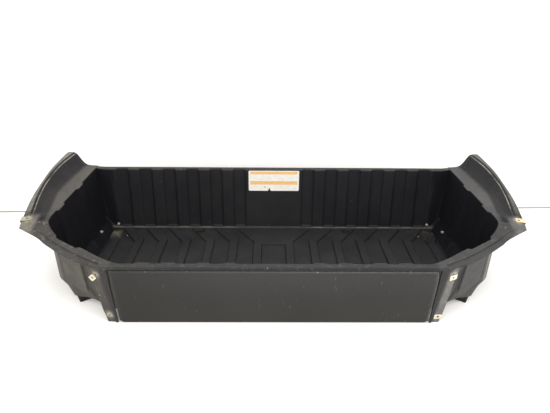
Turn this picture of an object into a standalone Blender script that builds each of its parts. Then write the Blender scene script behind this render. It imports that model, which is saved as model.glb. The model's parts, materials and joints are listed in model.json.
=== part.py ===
"""Cargo-bed tub of a small utility vehicle, as a bench assembly.

Axes: X across the bed, +Y from the low fascia (front) towards the tall wall (back)
that carries the label, +Z up.  Sections are laid out from a drawing line 5.5 mm in
front of the middle; everything hangs from one empty that puts the origin at the
centre of the footprint, on the ground.  Metres throughout.
"""
import math

import bmesh
import bpy
from mathutils import Matrix, Vector
from mathutils.bvhtree import BVHTree

# ------------------------------------------------------------ driving dimensions
WALL = 0.0040            # moulded wall thickness of the tub
GAP = 0.0004             # clearance between neighbouring pieces
FLOOR_Z = 0.0240         # top of the low floor panels
RIB_Z = 0.0310           # top of the raised floor ribs
CHAMFER_Z = 0.0604       # top of the sloping lower side edge
UNDERSIDE_Z = FLOOR_Z - WALL - GAP    # top of what stands under the floor
FRAME_SHIFT = (0.0, -0.0055, 0.0)     # drawing line to the middle of the footprint

# ------------------------------------------------------------ scene set-up
for old in list(bpy.data.objects):
    bpy.data.objects.remove(old, do_unlink=True)
for old in list(bpy.data.collections):
    bpy.data.collections.remove(old)

PARTS = bpy.data.collections.new("cargo_bed_liner")
CUTTERS = bpy.data.collections.new("cutters")
bpy.context.scene.collection.children.link(PARTS)
bpy.context.scene.collection.children.link(CUTTERS)


def material(name, colour, roughness, metallic=0.0):
    mat = bpy.data.materials.new(name)
    mat.use_nodes = True
    bsdf = mat.node_tree.nodes["Principled BSDF"]
    bsdf.inputs["Base Color"].default_value = (*colour, 1.0)
    bsdf.inputs["Roughness"].default_value = roughness
    bsdf.inputs["Metallic"].default_value = metallic
    return mat


TUB_MAT = material("tub_plastic", colour=(0.030, 0.030, 0.032), roughness=0.55)
APRON_MAT = material("apron_plastic", colour=(0.060, 0.057, 0.053), roughness=0.50)
RUBBER_MAT = material("pad_rubber", colour=(0.012, 0.012, 0.012), roughness=0.85)
ZINC_MAT = material("zinc_plate", colour=(0.62, 0.58, 0.47), roughness=0.40, metallic=1.0)
BLACK_STEEL = material("black_steel", colour=(0.05, 0.05, 0.05), roughness=0.45, metallic=1.0)
LABEL_MAT = material("label_vinyl", colour=(0.85, 0.84, 0.80), roughness=0.45)


# ------------------------------------------------------------ meshes and objects
def to_mesh(name, shape):
    """Mesh made from a bmesh, which is then freed."""
    mesh = bpy.data.meshes.new(name)
    shape.to_mesh(mesh)
    shape.free()
    return mesh


def add_object(name, mesh, mat=None, matrix=None, collection=PARTS):
    """Object on a mesh; repeated pieces share one mesh."""
    obj = bpy.data.objects.new(name, mesh)
    if mat and not mesh.materials:
        mesh.materials.append(mat)
    collection.objects.link(obj)
    if matrix is not None:
        obj.matrix_world = matrix
    return obj


def boolean(obj, cutter, operation):
    mod = obj.modifiers.new(operation.lower() + "_" + cutter.name, "BOOLEAN")
    mod.operation = operation
    mod.solver = "EXACT"
    mod.object = cutter


def add_sheet(obj, name, thickness):
    """Solidify a surface away from its normals."""
    mod = obj.modifiers.new(name, "SOLIDIFY")
    mod.thickness = thickness
    mod.offset = -1.0
    mod.use_even_offset = True


def extrude(shape, face, offset):
    """Extrude one face into a closed solid and return the faces at its far end."""
    region = bmesh.ops.extrude_face_region(shape, geom=[face])["geom"]
    far_verts = [item for item in region if isinstance(item, bmesh.types.BMVert)]
    far_faces = [item for item in region if isinstance(item, bmesh.types.BMFace)]
    bmesh.ops.translate(shape, vec=offset, verts=far_verts)
    bmesh.ops.recalc_face_normals(shape, faces=shape.faces)
    return far_faces


def cylinder(radius, low, high, segments):
    shape = bmesh.new()
    bmesh.ops.create_cone(shape, cap_ends=True, cap_tris=False, segments=segments,
                          radius1=radius, radius2=radius, depth=high - low,
                          matrix=Matrix.Translation((0, 0, (low + high) / 2)))
    return to_mesh("cylinder", shape)


def cylinder_helper(name, size):
    return add_object(name, cylinder(*size), collection=CUTTERS)


def baked(obj):
    """The evaluated mesh of a helper object; it and its cutters are then removed."""
    graph = bpy.context.evaluated_depsgraph_get()
    graph.update()
    mesh = bpy.data.meshes.new_from_object(obj.evaluated_get(graph))
    cutters = [mod.object for mod in obj.modifiers if mod.type == "BOOLEAN"]
    for helper in cutters + [obj]:
        bpy.data.objects.remove(helper, do_unlink=True)
    return mesh


def stack(name, tiers, bore=None):
    """Coaxial cylinders (radius, low z, high z, segments) in one solid, with an optional bore."""
    base = cylinder_helper(name, tiers[0])
    for k, tier in enumerate(tiers[1:]):
        boolean(base, cylinder_helper("%s_t%d" % (name, k), tier), "UNION")
    if bore:
        boolean(base, cylinder_helper(name + "_bore", bore), "DIFFERENCE")
    return baked(base)


def joined(name, pieces):
    """Several closed (mesh, matrix) pieces as one hidden helper object."""
    shape = bmesh.new()
    for mesh, matrix in pieces:
        first = len(shape.verts)
        shape.from_mesh(mesh)
        bmesh.ops.transform(shape, matrix=matrix, verts=list(shape.verts)[first:])
    obj = add_object(name, to_mesh(name, shape), collection=CUTTERS)
    obj.hide_render = True
    obj.display_type = "WIRE"
    return obj


def frame_on(point, normal, along=(1, 0, 0)):
    """Matrix with +Z on the normal and +X near 'along'."""
    z_axis = Vector(normal).normalized()
    x_axis = Vector(along)
    x_axis = (x_axis - z_axis * x_axis.dot(z_axis)).normalized()
    y_axis = z_axis.cross(x_axis)
    turn = Matrix((x_axis, y_axis, z_axis)).transposed().to_4x4()
    return Matrix.Translation(Vector(point)) @ turn


def upright(x, y, z=0.0):
    return Matrix.Translation((x, y, z))


def mix(start, end, share):
    return start + (end - start) * share


def table(x, points):
    """Straight-line interpolation in a short table of (x, value)."""
    if x <= points[0][0]:
        return points[0][1]
    for (x0, value0), (x1, value1) in zip(points, points[1:]):
        if x <= x1:
            return mix(value0, value1, (x - x0) / (x1 - x0))
    return points[-1][1]


# ------------------------------------------------------------ tall back wall, right half
# Each tub section below gives two columns of points: the wall from foot to rim,
# and the rim from the wall's top outwards to the turned-down lip.
BACK_FOOT_Y = 0.2065     # floor edge in front of the tall wall
BACK_STEP_Y = 0.0020     # lean of the step from floor to rib height
BACK_LOW_Y = 0.2165      # tall wall at its foot, on a proud flute
BACK_TOP_Y = 0.2402      # the same flute at the rim
BACK_RIM_Z = 0.2320
BACK_RIM_RISE = 0.0015
BACK_LIP_Z = 0.2200
BACK_EDGE_Y = 0.2625
BACK_RIM_Y = (0.2545, 0.2550, 0.2555, 0.2560, 0.2570, BACK_EDGE_Y)

FLUTE_DEPTH = 0.0090
FLUTE_START = 0.0950     # half width of the plain centre panel
FLUTE_PITCH = 0.0387
FLUTE_COUNT = 12
FLUTE_RAMP = 0.0030      # half width of the ramp between two flutes
BACK_SPREAD_X = 0.5240   # beyond this the wall's top spreads to meet the side rim
BACK_LAST_X = 0.5440

SIDE_FLOOR_X = (0.5472, 0.5420)    # floor edge, at the tall wall and at the front
SIDE_CHAMFER_X = (0.5662, 0.5800)  # top of the sloping edge, same two places
SIDE_FRONT_Y = -0.1344             # where those front values apply
SIDE_STEP_SHARE = 0.20             # share of the slope's width used at rib height
SIDE_TOP_X = 0.5854
SIDE_RIM_Z = 0.2380


def fluted(x):
    """0 on a proud flute, 1 in a recess of the tall wall."""
    if x < FLUTE_START:
        return 0
    return 1 - int((x - FLUTE_START) / FLUTE_PITCH) % 2


def back_column(x, recess):
    top = x
    if x >= BACK_SPREAD_X:
        share = (x - BACK_SPREAD_X) / (SIDE_FLOOR_X[0] - BACK_SPREAD_X)
        top = mix(x, SIDE_TOP_X, share)
    inset = FLUTE_DEPTH * recess
    wall = [(x, BACK_FOOT_Y, FLOOR_Z), (x, BACK_FOOT_Y + BACK_STEP_Y, RIB_Z),
            (x, BACK_LOW_Y + inset, RIB_Z), (top, BACK_TOP_Y + inset, BACK_RIM_Z)]
    rim = [wall[-1]] + [(top, y, BACK_RIM_Z + BACK_RIM_RISE) for y in BACK_RIM_Y]
    rim.append((top, BACK_EDGE_Y, BACK_LIP_Z))
    return wall, rim


def back_columns():
    columns = [back_column(0.0, 0)]
    for k in range(FLUTE_COUNT):
        edge = FLUTE_START + FLUTE_PITCH * k
        for x in (edge - FLUTE_RAMP, edge + FLUTE_RAMP):
            columns.append(back_column(x, fluted(x)))
    columns.append(back_column(BACK_LAST_X, 0))
    return columns


# ------------------------------------------------------------ side wall and wing
SIDE_RIBS = ((0.1110, 0.0740), (-0.0270, -0.0650))   # y of each rib's back and front edge
SIDE_RIB_DEPTH = 0.0065
RIB_EDGE_RAMP = 0.0050   # run of a wall rib's flank, on the side and front walls
SIDE_PLAIN_Y = {"back": 0.1650, "middle": 0.0200, "front": -0.1000}

# wing profile along the side: (y, value)
WING_FOOT_X = ((-0.128, 0.5960), (-0.080, 0.5990), (0.000, 0.6160),
               (0.060, 0.6250), (0.157, 0.6230), (BACK_EDGE_Y, 0.6160))
WING_CREST_X = ((-0.128, 0.6330), (-0.080, 0.6400), (0.000, 0.6530),
                (0.060, 0.6590), (0.157, 0.6570), (BACK_EDGE_Y, 0.6480))
WING_OUTER_X = ((-0.141, 0.6515), (-0.080, 0.6640), (-0.030, 0.6700),
                (0.050, 0.6750), (0.146, 0.6765), (BACK_EDGE_Y, 0.6770))
WING_TOP_Z = ((-0.141, 0.2235), (-0.078, 0.2390), (-0.013, 0.2545),
              (0.050, 0.2655), (0.145, 0.2805), (BACK_EDGE_Y, 0.2860))
WING_LIP_DROP = ((-0.100, 0.0010), (-0.050, 0.0130))
# concave rise from foot to crest: (share of the run, share of the height)
WING_RISE = ((0.40, 0.26), (0.74, 0.68), (1.0, 0.96))
WING_TOP_W = 0.0085      # width of the flat between crest and outer edge
WING_EDGE_DROP = 0.0010
WING_LIP_FLARE = 0.0020
WING_LIP_LEAN = 0.12     # inward lean of the lip per unit of drop


def side_section(y, inner_x):
    """(x, z) across the side rim: ledge, concave rise, crest, outer lip turned down."""
    foot, crest = table(y, WING_FOOT_X), table(y, WING_CREST_X)
    outer, top = table(y, WING_OUTER_X), table(y, WING_TOP_Z)
    drop = table(y, WING_LIP_DROP)
    edge_z = top - WING_EDGE_DROP
    rise = [(mix(foot, crest, run), mix(SIDE_RIM_Z, top, height)) for run, height in WING_RISE]
    return [(inner_x, SIDE_RIM_Z), (foot, SIDE_RIM_Z + 0.001), *rise,
            (outer - WING_TOP_W, top), (outer, edge_z),
            (outer + WING_LIP_FLARE - drop * WING_LIP_LEAN, edge_z - drop)]


def side_foot_x(y):
    """x of the side wall at floor, rib and chamfer height."""
    share = (BACK_FOOT_Y - y) / (BACK_FOOT_Y - SIDE_FRONT_Y)
    foot, chamfer = mix(*SIDE_FLOOR_X, share), mix(*SIDE_CHAMFER_X, share)
    return foot, mix(foot, chamfer, SIDE_STEP_SHARE), chamfer


def side_column(y, depth=0.0):
    foot, step, chamfer = side_foot_x(y)
    wall = [(foot, y, FLOOR_Z), (step, y, RIB_Z), (chamfer - depth, y, CHAMFER_Z),
            (SIDE_TOP_X - depth, y, SIDE_RIM_Z)]
    rim = [(x, y, z) for x, z in side_section(y, SIDE_TOP_X - depth)]
    return wall, rim


def side_rib_columns(back_y, front_y):
    return [side_column(back_y + RIB_EDGE_RAMP), side_column(back_y, SIDE_RIB_DEPTH),
            side_column(front_y, SIDE_RIB_DEPTH), side_column(front_y - RIB_EDGE_RAMP)]


def side_columns():
    return [side_column(SIDE_PLAIN_Y["back"]), *side_rib_columns(*SIDE_RIBS[0]),
            side_column(SIDE_PLAIN_Y["middle"]), *side_rib_columns(*SIDE_RIBS[1]),
            side_column(SIDE_PLAIN_Y["front"])]


# ------------------------------------------------------------ corner of tall wall and side wall
POST_Y = 0.2440          # rim of the corner post
POST_RIM_Z, POST_LIP_Z = 0.2375, 0.2250
WING_END_DROP = 0.0130   # turned-down back edge of the wing

BACK_SIDE_WALL = [(SIDE_FLOOR_X[0], BACK_FOOT_Y, FLOOR_Z),
                  (0.5510, BACK_FOOT_Y + BACK_STEP_Y, RIB_Z),
                  (SIDE_CHAMFER_X[0], 0.2205, CHAMFER_Z),
                  (SIDE_TOP_X, POST_Y, BACK_RIM_Z + 0.004)]
BACK_SIDE_RIM = [BACK_SIDE_WALL[-1], *((SIDE_TOP_X, y, POST_RIM_Z) for y in BACK_RIM_Y),
                 (SIDE_TOP_X, BACK_EDGE_Y, POST_LIP_Z)]
POST_SECTION = side_section(POST_Y, SIDE_TOP_X)[1:]
WING_BACK_RIM = [BACK_SIDE_WALL[-1]] + [(x, POST_Y, z) for x, z in POST_SECTION]


def wing_end():
    """Back end of the wing, from its back edge to the corner post."""
    rows = [WING_BACK_RIM]
    for y, inner in zip(BACK_RIM_Y, BACK_SIDE_RIM[1:]):
        rows.append([inner] + [(x, y, z) for x, z in POST_SECTION])
    edge = [(x, BACK_EDGE_Y, z - WING_END_DROP) for x, z in POST_SECTION[:-1]]
    lip_x, lip_z = POST_SECTION[-1]
    rows.append([BACK_SIDE_RIM[-1], *edge, (lip_x, BACK_EDGE_Y, lip_z)])
    return rows[::-1]


# ------------------------------------------------------------ low front wall
FRONT_TOP_Y = -0.2318
FRONT_LOW_Y = -0.2198
FRONT_CHAMFER_Y = FRONT_LOW_Y - 0.002
FRONT_RIM_Z = 0.1790
FRONT_EDGE_Y = -0.2505
FRONT_LIP_Z = 0.1710
FRONT_RIM_Y = (-0.2380, -0.2395, -0.2410, -0.2425, -0.2445, FRONT_EDGE_Y)
FRONT_RIBS = ((0.307, 0.337), (0.245, 0.274), (0.161, 0.188), (0.098, 0.121))  # x of edges
FRONT_RIB_DEPTH = 0.0050
FRONT_RIB_LOW_SHARE = 0.6    # share of the rib depth at chamfer height


def front_column(x, depth=0.0):
    wall = [(x, FRONT_LOW_Y, FLOOR_Z), (x, FRONT_LOW_Y, RIB_Z),
            (x, FRONT_CHAMFER_Y + depth * FRONT_RIB_LOW_SHARE, CHAMFER_Z),
            (x, FRONT_TOP_Y + depth, FRONT_RIM_Z)]
    rim = [wall[-1]] + [(x, y, FRONT_RIM_Z) for y in FRONT_RIM_Y]
    rim.append((x, FRONT_EDGE_Y, FRONT_LIP_Z))
    return wall, rim


def front_columns():
    columns = []
    for inner, outer in FRONT_RIBS:
        columns += [front_column(outer + RIB_EDGE_RAMP), front_column(outer, FRONT_RIB_DEPTH),
                    front_column(inner, FRONT_RIB_DEPTH), front_column(inner - RIB_EDGE_RAMP)]
    return columns + [front_column(0.0)]


# ------------------------------------------------------------ cut corner
DIAG_SIDE_END = Vector((SIDE_TOP_X, -0.1280))      # rim line, at the side wall
DIAG_FRONT_END = Vector((0.3858, FRONT_TOP_Y))     # rim line, at the low front wall
DIAG_DIR = (DIAG_SIDE_END - DIAG_FRONT_END).normalized()
DIAG_OUT = Vector((DIAG_DIR.y, -DIAG_DIR.x))
DIAG_LEN = (DIAG_SIDE_END - DIAG_FRONT_END).length
DIAG_BULGE = 0.0080
DIAG_BULGE_START, DIAG_BULGE_END = 0.0300, 0.1040
DIAG_BULGE_RAMP = 0.0030
FLANGE_W = 0.0420        # rim flange along the cut corner
JOGGLE = 0.0035          # step for the neighbouring body panel
JOGGLE_FROM = 4          # first flange point below the step
FLANGE_SHARES = (0.32, 0.40, 0.52, 0.62, 0.64, 1.0)
FLANGE_LIP_OUT, FLANGE_LIP_DROP = 0.0005, 0.0060

# The next tables run along the cut corner: (distance from its side end, value).
DIAG_RIM_Z = ((0.0, 0.2330), (0.012, 0.2140), (0.025, 0.2045), (0.060, 0.1978),
              (0.120, 0.1890), (0.190, 0.1790), (0.226, 0.1790))
FLANGE_LIFT = ((0.0, 0.012), (0.03, 0.008), (0.09, 0.0))
NEAR_SIDE = ((0.015, 1.0), (0.045, 0.0))     # 1 next to the side wall, fading to 0

# Wall foot at the side end, at floor, rib and chamfer height.
DIAG_FOOT = ((SIDE_FLOOR_X[1], -0.1371, FLOOR_Z), (0.5490, -0.1335, RIB_Z),
             (SIDE_CHAMFER_X[1], -0.1195, CHAMFER_Z))
DIAG_BULGE_SHARES = (0.0, 0.5, 1.0)          # of the bulge, at the same three heights
LOW_BULGE = 0.0095       # outward step of the foot next to the side wall
CHAMFER_LIFT = 0.0040    # rise of the chamfer's top there
SHOULDER_Z = 0.0500      # height of the shoulder there
SHOULDER_SHARE = 0.46    # place of the shoulder between foot and chamfer top

# Stations: distance from the side end, bulge (0/1), joggle (0/1), flange width.
# The flange narrows into the leg.
DIAG_STATIONS = (
    (0.0140, 0, 1, FLANGE_W),
    (DIAG_BULGE_START - DIAG_BULGE_RAMP, 0, 1, FLANGE_W),
    (DIAG_BULGE_START + DIAG_BULGE_RAMP, 1, 1, FLANGE_W),
    (0.0650, 1, 1, FLANGE_W),
    (DIAG_BULGE_END - DIAG_BULGE_RAMP, 1, 1, FLANGE_W),
    (DIAG_BULGE_END + DIAG_BULGE_RAMP, 0, 1, FLANGE_W),
    (0.1450, 0, 1, 0.0400), (0.1670, 0, 1, 0.0340),
    (0.1940, 0, 1, 0.0310), (0.2000, 0, 0, 0.0300),
)

# Corner between side wall and cut corner, on the line to the wing tip.
SIDE_DIAG_WALL = [
    (DIAG_FOOT[0][0] + 0.0044, DIAG_FOOT[0][1] - 0.0085, FLOOR_Z),
    (0.5635, -0.1365, SHOULDER_Z),
    (DIAG_FOOT[2][0] + 0.0042, DIAG_FOOT[2][1] - 0.0080, CHAMFER_Z + CHAMFER_LIFT),
    (SIDE_TOP_X, -0.1230, SIDE_RIM_Z - 0.004),
]
WING_TIP = (0.6515, -0.1410)
# (share of the way to the wing tip, z)
TIP_LINE = ((0.20, 0.2290), (0.34, 0.2270), (0.50, 0.2262),
            (0.64, 0.2262), (0.70, 0.2250), (1.0, 0.2235))
SIDE_DIAG_RIM = [SIDE_DIAG_WALL[-1]]
for share, z in TIP_LINE:
    SIDE_DIAG_RIM.append((mix(SIDE_DIAG_WALL[-1][0], WING_TIP[0], share),
                          mix(SIDE_DIAG_WALL[-1][1], WING_TIP[1], share), z))
SIDE_DIAG_RIM.append((WING_TIP[0] + 0.0018, WING_TIP[1] - 0.0004, 0.2230))

# Corner between cut corner and low front wall.
DIAG_FRONT_WALL = [(0.3800, FRONT_LOW_Y, FLOOR_Z), (0.3800, FRONT_LOW_Y, RIB_Z),
                   (0.3812, FRONT_CHAMFER_Y, CHAMFER_Z),
                   (DIAG_FRONT_END.x, DIAG_FRONT_END.y, FRONT_RIM_Z)]
FRONT_END_X = 0.4060     # front rim's outer edge, at its end
DIAG_FRONT_RIM = [DIAG_FRONT_WALL[-1]]
for share in (0.33, 0.41, 0.49, 0.57, 0.66, 1.0):
    DIAG_FRONT_RIM.append((mix(DIAG_FRONT_END.x, FRONT_END_X, share),
                           mix(DIAG_FRONT_END.y, FRONT_EDGE_Y, share), FRONT_RIM_Z))
DIAG_FRONT_RIM.append((FRONT_END_X - 0.0002, FRONT_EDGE_Y, FRONT_LIP_Z))


def diag_point(distance, out):
    """Plan point at a distance from the side end, 'out' in front of the rim line."""
    return DIAG_SIDE_END - DIAG_DIR * distance + DIAG_OUT * out


def diag_column(distance, bulge, joggle, width):
    along = distance / DIAG_LEN
    near = table(distance, NEAR_SIDE)
    wall = []
    for side_end, front_end, share in zip(DIAG_FOOT, DIAG_FRONT_WALL, DIAG_BULGE_SHARES):
        out = max(LOW_BULGE * near, bulge * share)
        wall.append([mix(side_end[0], front_end[0], along) + DIAG_OUT.x * out,
                     mix(side_end[1], front_end[1], along) + DIAG_OUT.y * out, side_end[2]])
    foot, shoulder, chamfer = wall
    chamfer[2] += CHAMFER_LIFT * near
    for axis in (0, 1):
        target = mix(foot[axis], chamfer[axis], SHOULDER_SHARE)
        shoulder[axis] = mix(shoulder[axis], target, near)
    shoulder[2] = mix(shoulder[2], SHOULDER_Z, near)

    rim_z = table(distance, DIAG_RIM_Z)
    wall.append((*diag_point(distance, bulge), rim_z))
    rim = [wall[-1]]
    lift = table(distance, FLANGE_LIFT)
    for k, share in enumerate(FLANGE_SHARES):
        down = joggle if k >= JOGGLE_FROM else 0.0
        rim.append((*diag_point(distance, width * share), rim_z + lift * share - down))
    rim.append((*diag_point(distance, width + FLANGE_LIP_OUT), rim[-1][2] - FLANGE_LIP_DROP))
    return wall, rim


# ------------------------------------------------------------ leg beside the fascia
# Outer edge of the leg, from the top down: (z, x).
LEG_EDGE = ((0.1540, 0.4510), (0.1250, 0.4456), (0.0987, 0.4440), (0.0643, 0.4397),
            (0.0408, 0.4376), (0.0208, 0.4335), (0.0, 0.4295))
# Foot (x, y) of each leg column, from the outer edge inwards.
LEG_FEET = ((0.4295, -0.2345), (0.4115, -0.2350), (0.4085, -0.2385), (0.4040, -0.2385))


def leg_columns(heads):
    """Proud band, step and recessed strip below the given rim points."""
    columns = []
    for n, (head, foot) in enumerate(zip(heads, LEG_FEET)):
        column = [head]
        for z, edge_x in LEG_EDGE:
            share = (head[2] - z) / head[2]
            x = edge_x if n == 0 else mix(head[0], foot[0], share)
            column.append((x, mix(head[1], foot[1], share), z))
        columns.append(column)
    return columns


# ------------------------------------------------------------ tub
def patch(shape, columns):
    """Faces between neighbouring columns of points, leaving out coincident corners."""
    rows = [[shape.verts.new(point) for point in column] for column in columns]
    for left, right in zip(rows, rows[1:]):
        for k in range(len(left) - 1):
            corners = []
            for vert in (left[k], right[k], right[k + 1], left[k + 1]):
                if all((vert.co - other.co).length > 1e-6 for other in corners):
                    corners.append(vert)
            if len(corners) > 2:
                shape.faces.new(corners)


def build_tub():
    back = back_columns() + [(BACK_SIDE_WALL, BACK_SIDE_RIM)]
    diag = [diag_column(distance, DIAG_BULGE * bulge, JOGGLE * joggle, width)
            for distance, bulge, joggle, width in DIAG_STATIONS]
    rest = [*side_columns(), (SIDE_DIAG_WALL, SIDE_DIAG_RIM), *diag,
            (DIAG_FRONT_WALL, DIAG_FRONT_RIM), *front_columns()]
    walls = [wall for wall, _ in back + rest]

    shape = bmesh.new()
    patch(shape, walls)
    patch(shape, [rim for _, rim in back])
    patch(shape, [WING_BACK_RIM] + [rim for _, rim in rest])
    patch(shape, wing_end())
    patch(shape, leg_columns([rim[-1] for _, rim in diag[-3:]] + [DIAG_FRONT_RIM[-1]]))
    # floor sheet closing the ring of wall feet
    shape.faces.new([shape.verts.new(wall[0]) for wall in walls])

    bmesh.ops.remove_doubles(shape, verts=shape.verts, dist=2e-5)
    bmesh.ops.recalc_face_normals(shape, faces=shape.faces)
    floor = max(shape.faces, key=lambda face: face.calc_area())
    if floor.normal.z < 0:
        bmesh.ops.reverse_faces(shape, faces=shape.faces)

    obj = add_object("bed_tub", to_mesh("bed_tub", shape), TUB_MAT)
    mirror = obj.modifiers.new("mirror", "MIRROR")
    mirror.use_axis = (True, False, False)
    mirror.merge_threshold = 0.0001
    mirror.use_clip = True
    add_sheet(obj, "wall", WALL)
    return obj


tub = build_tub()

# ------------------------------------------------------------ raised floor ribs
RIB_FIRST, RIB_PITCH, RIB_WIDTH = 0.0370, 0.0777, 0.0290
RIB_COUNT = 7            # on each side; the first pair joins into one centre piece
RIB_BEND_IN_Y, RIB_BEND_OUT_Y = 0.1370, 0.1200   # bend on a rib's inner and outer edge
RIB_BEND = 0.70          # sideways run per unit of y behind the bend
RIB_END_Y = BACK_FOOT_Y - 0.0030
RIB_LIMIT_X = 0.5425
RIB_FRONT_GAP = 0.0120
RIB_EDGE = 0.0020        # width and height of the sloping edge
RIB_SINK = 0.0020        # depth of the rib's base below the floor surface
PLATEAU_Y = 0.1025       # front of the centre piece between its two ribs


def floor_front_y(x):
    """Front edge of the floor, straight and then along the cut corner."""
    x0, y0, _ = DIAG_FRONT_WALL[0]
    x1, y1, _ = DIAG_FOOT[0]
    return y0 if x < x0 else mix(y0, y1, (x - x0) / (x1 - x0))


def rib_outline(k):
    inner = RIB_FIRST + RIB_PITCH * k
    outer = inner + RIB_WIDTH
    end_outer = outer + RIB_BEND * (RIB_END_Y - RIB_BEND_OUT_Y)
    end_inner = inner + RIB_BEND * (RIB_END_Y - RIB_BEND_IN_Y)
    if end_outer <= RIB_LIMIT_X:
        end = [(end_outer, RIB_END_Y), (end_inner, RIB_END_Y)]
    else:
        end = [(RIB_LIMIT_X, RIB_BEND_OUT_Y + (RIB_LIMIT_X - outer) / RIB_BEND),
               (RIB_LIMIT_X, RIB_BEND_IN_Y + (RIB_LIMIT_X - inner) / RIB_BEND)]
    return [(inner, floor_front_y(inner) + RIB_FRONT_GAP),
            (outer, floor_front_y(outer) + RIB_FRONT_GAP),
            (outer, RIB_BEND_OUT_Y), *end, (inner, RIB_BEND_IN_Y)]


def mirrored_outline(points):
    return [(-x, y) for x, y in reversed(points)]


def centre_outline():
    """The first pair of ribs, joined by a plateau towards the tall wall."""
    first = rib_outline(0)
    inner = first[0][0]
    return (mirrored_outline(first[:2]) + [(-inner, PLATEAU_Y), (inner, PLATEAU_Y)]
            + first[:4] + mirrored_outline(first[2:4]))


def rib_mesh(outline):
    """A flat-topped raised panel with a sloping edge."""
    low = FLOOR_Z - RIB_SINK
    shape = bmesh.new()
    base = shape.faces.new([shape.verts.new((x, y, low)) for x, y in outline])
    base.normal_update()
    top = extrude(shape, base, (0, 0, RIB_Z - RIB_EDGE - low))
    bmesh.ops.inset_region(shape, faces=top, thickness=RIB_EDGE, depth=RIB_EDGE,
                           use_even_offset=True)
    bmesh.ops.recalc_face_normals(shape, faces=shape.faces)
    return to_mesh("rib", shape)


rib_outlines = [centre_outline()]
for k in range(1, RIB_COUNT):
    rib_outlines += [rib_outline(k), mirrored_outline(rib_outline(k))]
rib_pieces = [(rib_mesh(outline), Matrix.Identity(4)) for outline in rib_outlines]
boolean(tub, joined("floor_ribs", rib_pieces), "UNION")

# ------------------------------------------------------------ bosses for the fascia screws
APRON_SCREW_X = (-0.320, -0.160, 0.0, 0.160, 0.320)
BOSS_Y = -0.2412
BOSS = (0.0036, 0.1705, FRONT_RIM_Z - 0.0020, 10)    # radius, low z, high z, segments


def at_screws(mesh):
    return [(mesh, upright(x, BOSS_Y)) for x in APRON_SCREW_X]


boolean(tub, joined("screw_bosses", at_screws(cylinder(*BOSS))), "UNION")

# ------------------------------------------------------------ fixings: where they sit
FLOOR_FIX = {"rear_left": (-0.2450, 0.1830), "rear_right": (0.2450, 0.1830),
             "front_left": (-0.2457, -0.1500), "front_right": (0.2457, -0.1500)}
RECESS_Z = 0.0262        # seat of the two rear floor bolts
PAD_TOP_FRONT = 0.0170   # clears the thicker moulding at the cut corner
# x, y, turn in degrees, width, depth, top z
PADS = {"front_right": (0.5288, -0.1342, -34.2, 0.0300, 0.0360, PAD_TOP_FRONT),
        "front_left": (-0.5288, -0.1342, 34.2, 0.0300, 0.0360, PAD_TOP_FRONT),
        "rear_right": (0.4900, 0.1650, 0.0, 0.0400, 0.0360, UNDERSIDE_Z),
        "rear_left": (-0.4900, 0.1650, 0.0, 0.0400, 0.0360, UNDERSIDE_Z)}
# bolts through the sloping side edge: y, z, and the y at which the normal is taken
SIDE_BOLT_RIGHT = (0.1488, 0.0500, 0.148)
SIDE_BOLT_LEFT = (0.1400, 0.0520, 0.140)
BACK_BOLT_X, BACK_BOLT_Z = 0.5320, 0.0400


def back_wall_point(x, z):
    """Point on a proud flute of the tall wall."""
    return Vector((x, mix(BACK_LOW_Y, BACK_TOP_Y, (z - RIB_Z) / (BACK_RIM_Z - RIB_Z)), z))


def chamfer_point(y, z):
    _, step, chamfer = side_foot_x(y)
    return Vector((mix(step, chamfer, (z - RIB_Z) / (CHAMFER_Z - RIB_Z)), y, z))


def chamfer_normal(y, low=0.035, high=0.055, step_y=0.02):
    """Normal of the sloping side edge, towards the bed, from three points on it."""
    corner = chamfer_point(y, low)
    up = chamfer_point(y, high) - corner
    back = chamfer_point(y + step_y, low) - corner
    normal = up.cross(back).normalized()
    return normal if normal.x < 0 else -normal


def mirrored_x(vector):
    return Vector((-vector.x, vector.y, vector.z))


def side_fix(y, z, normal_y):
    return chamfer_point(y, z), chamfer_normal(normal_y)


BACK_NORMAL = Vector((0, RIB_Z - BACK_RIM_Z, BACK_TOP_Y - BACK_LOW_Y)).normalized()
back_bolt = back_wall_point(BACK_BOLT_X, BACK_BOLT_Z)
# bolt point and surface normal
CORNER_FIX = {
    "side_right": side_fix(*SIDE_BOLT_RIGHT),
    "back_right": (back_bolt, BACK_NORMAL),
    "side_left": tuple(mirrored_x(vector) for vector in side_fix(*SIDE_BOLT_LEFT)),
    "back_left": (mirrored_x(back_bolt), BACK_NORMAL),
}

# cutting cylinders: radius, low z, high z, segments
hole = cylinder(0.0033, -0.010, 0.010, 12)
floor_hole = cylinder(0.0047, 0.010, 0.040, 14)
recess = cylinder(0.0140, RECESS_Z, 0.040, 20)
boss_hole = cylinder(0.0021, 0.1650, 0.1768, 8)
pad_hole = cylinder(0.0026, 0.0, 0.050, 10)
screw_gate = cylinder(0.0021, 0.150, 0.1700, 8)

rear_recesses = [(recess, upright(*FLOOR_FIX[key])) for key in ("rear_left", "rear_right")]
boolean(tub, joined("recesses", rear_recesses), "DIFFERENCE")

# ------------------------------------------------------------ holes found on the tub's skin
# Clip nuts: hole centre, viewing way and the way the closed end points.
# The centre is (x, y) looking "down" and (x, z) looking back from the "front".
CLIPS = {
    "clip_nut_tip_right": ((0.6452, -0.1065), "down", (1, -0.12, -0.05)),
    "clip_nut_tip_left": ((-0.6452, -0.1065), "down", (-1, -0.12, -0.05)),
    "clip_nut_upper_right": ((0.4403, 0.1445), "front", (1, 0.15, 0.02)),
    "clip_nut_upper_left": ((-0.4465, 0.1403), "front", (-0.72, 0.10, -0.66)),
    "clip_nut_lower_right": ((0.4239, 0.0195), "front", (1, 0.10, 0.0)),
}
CLIPS_ON_HOLES = ("clip_nut_tip_right", "clip_nut_tip_left", "clip_nut_lower_right")
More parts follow.
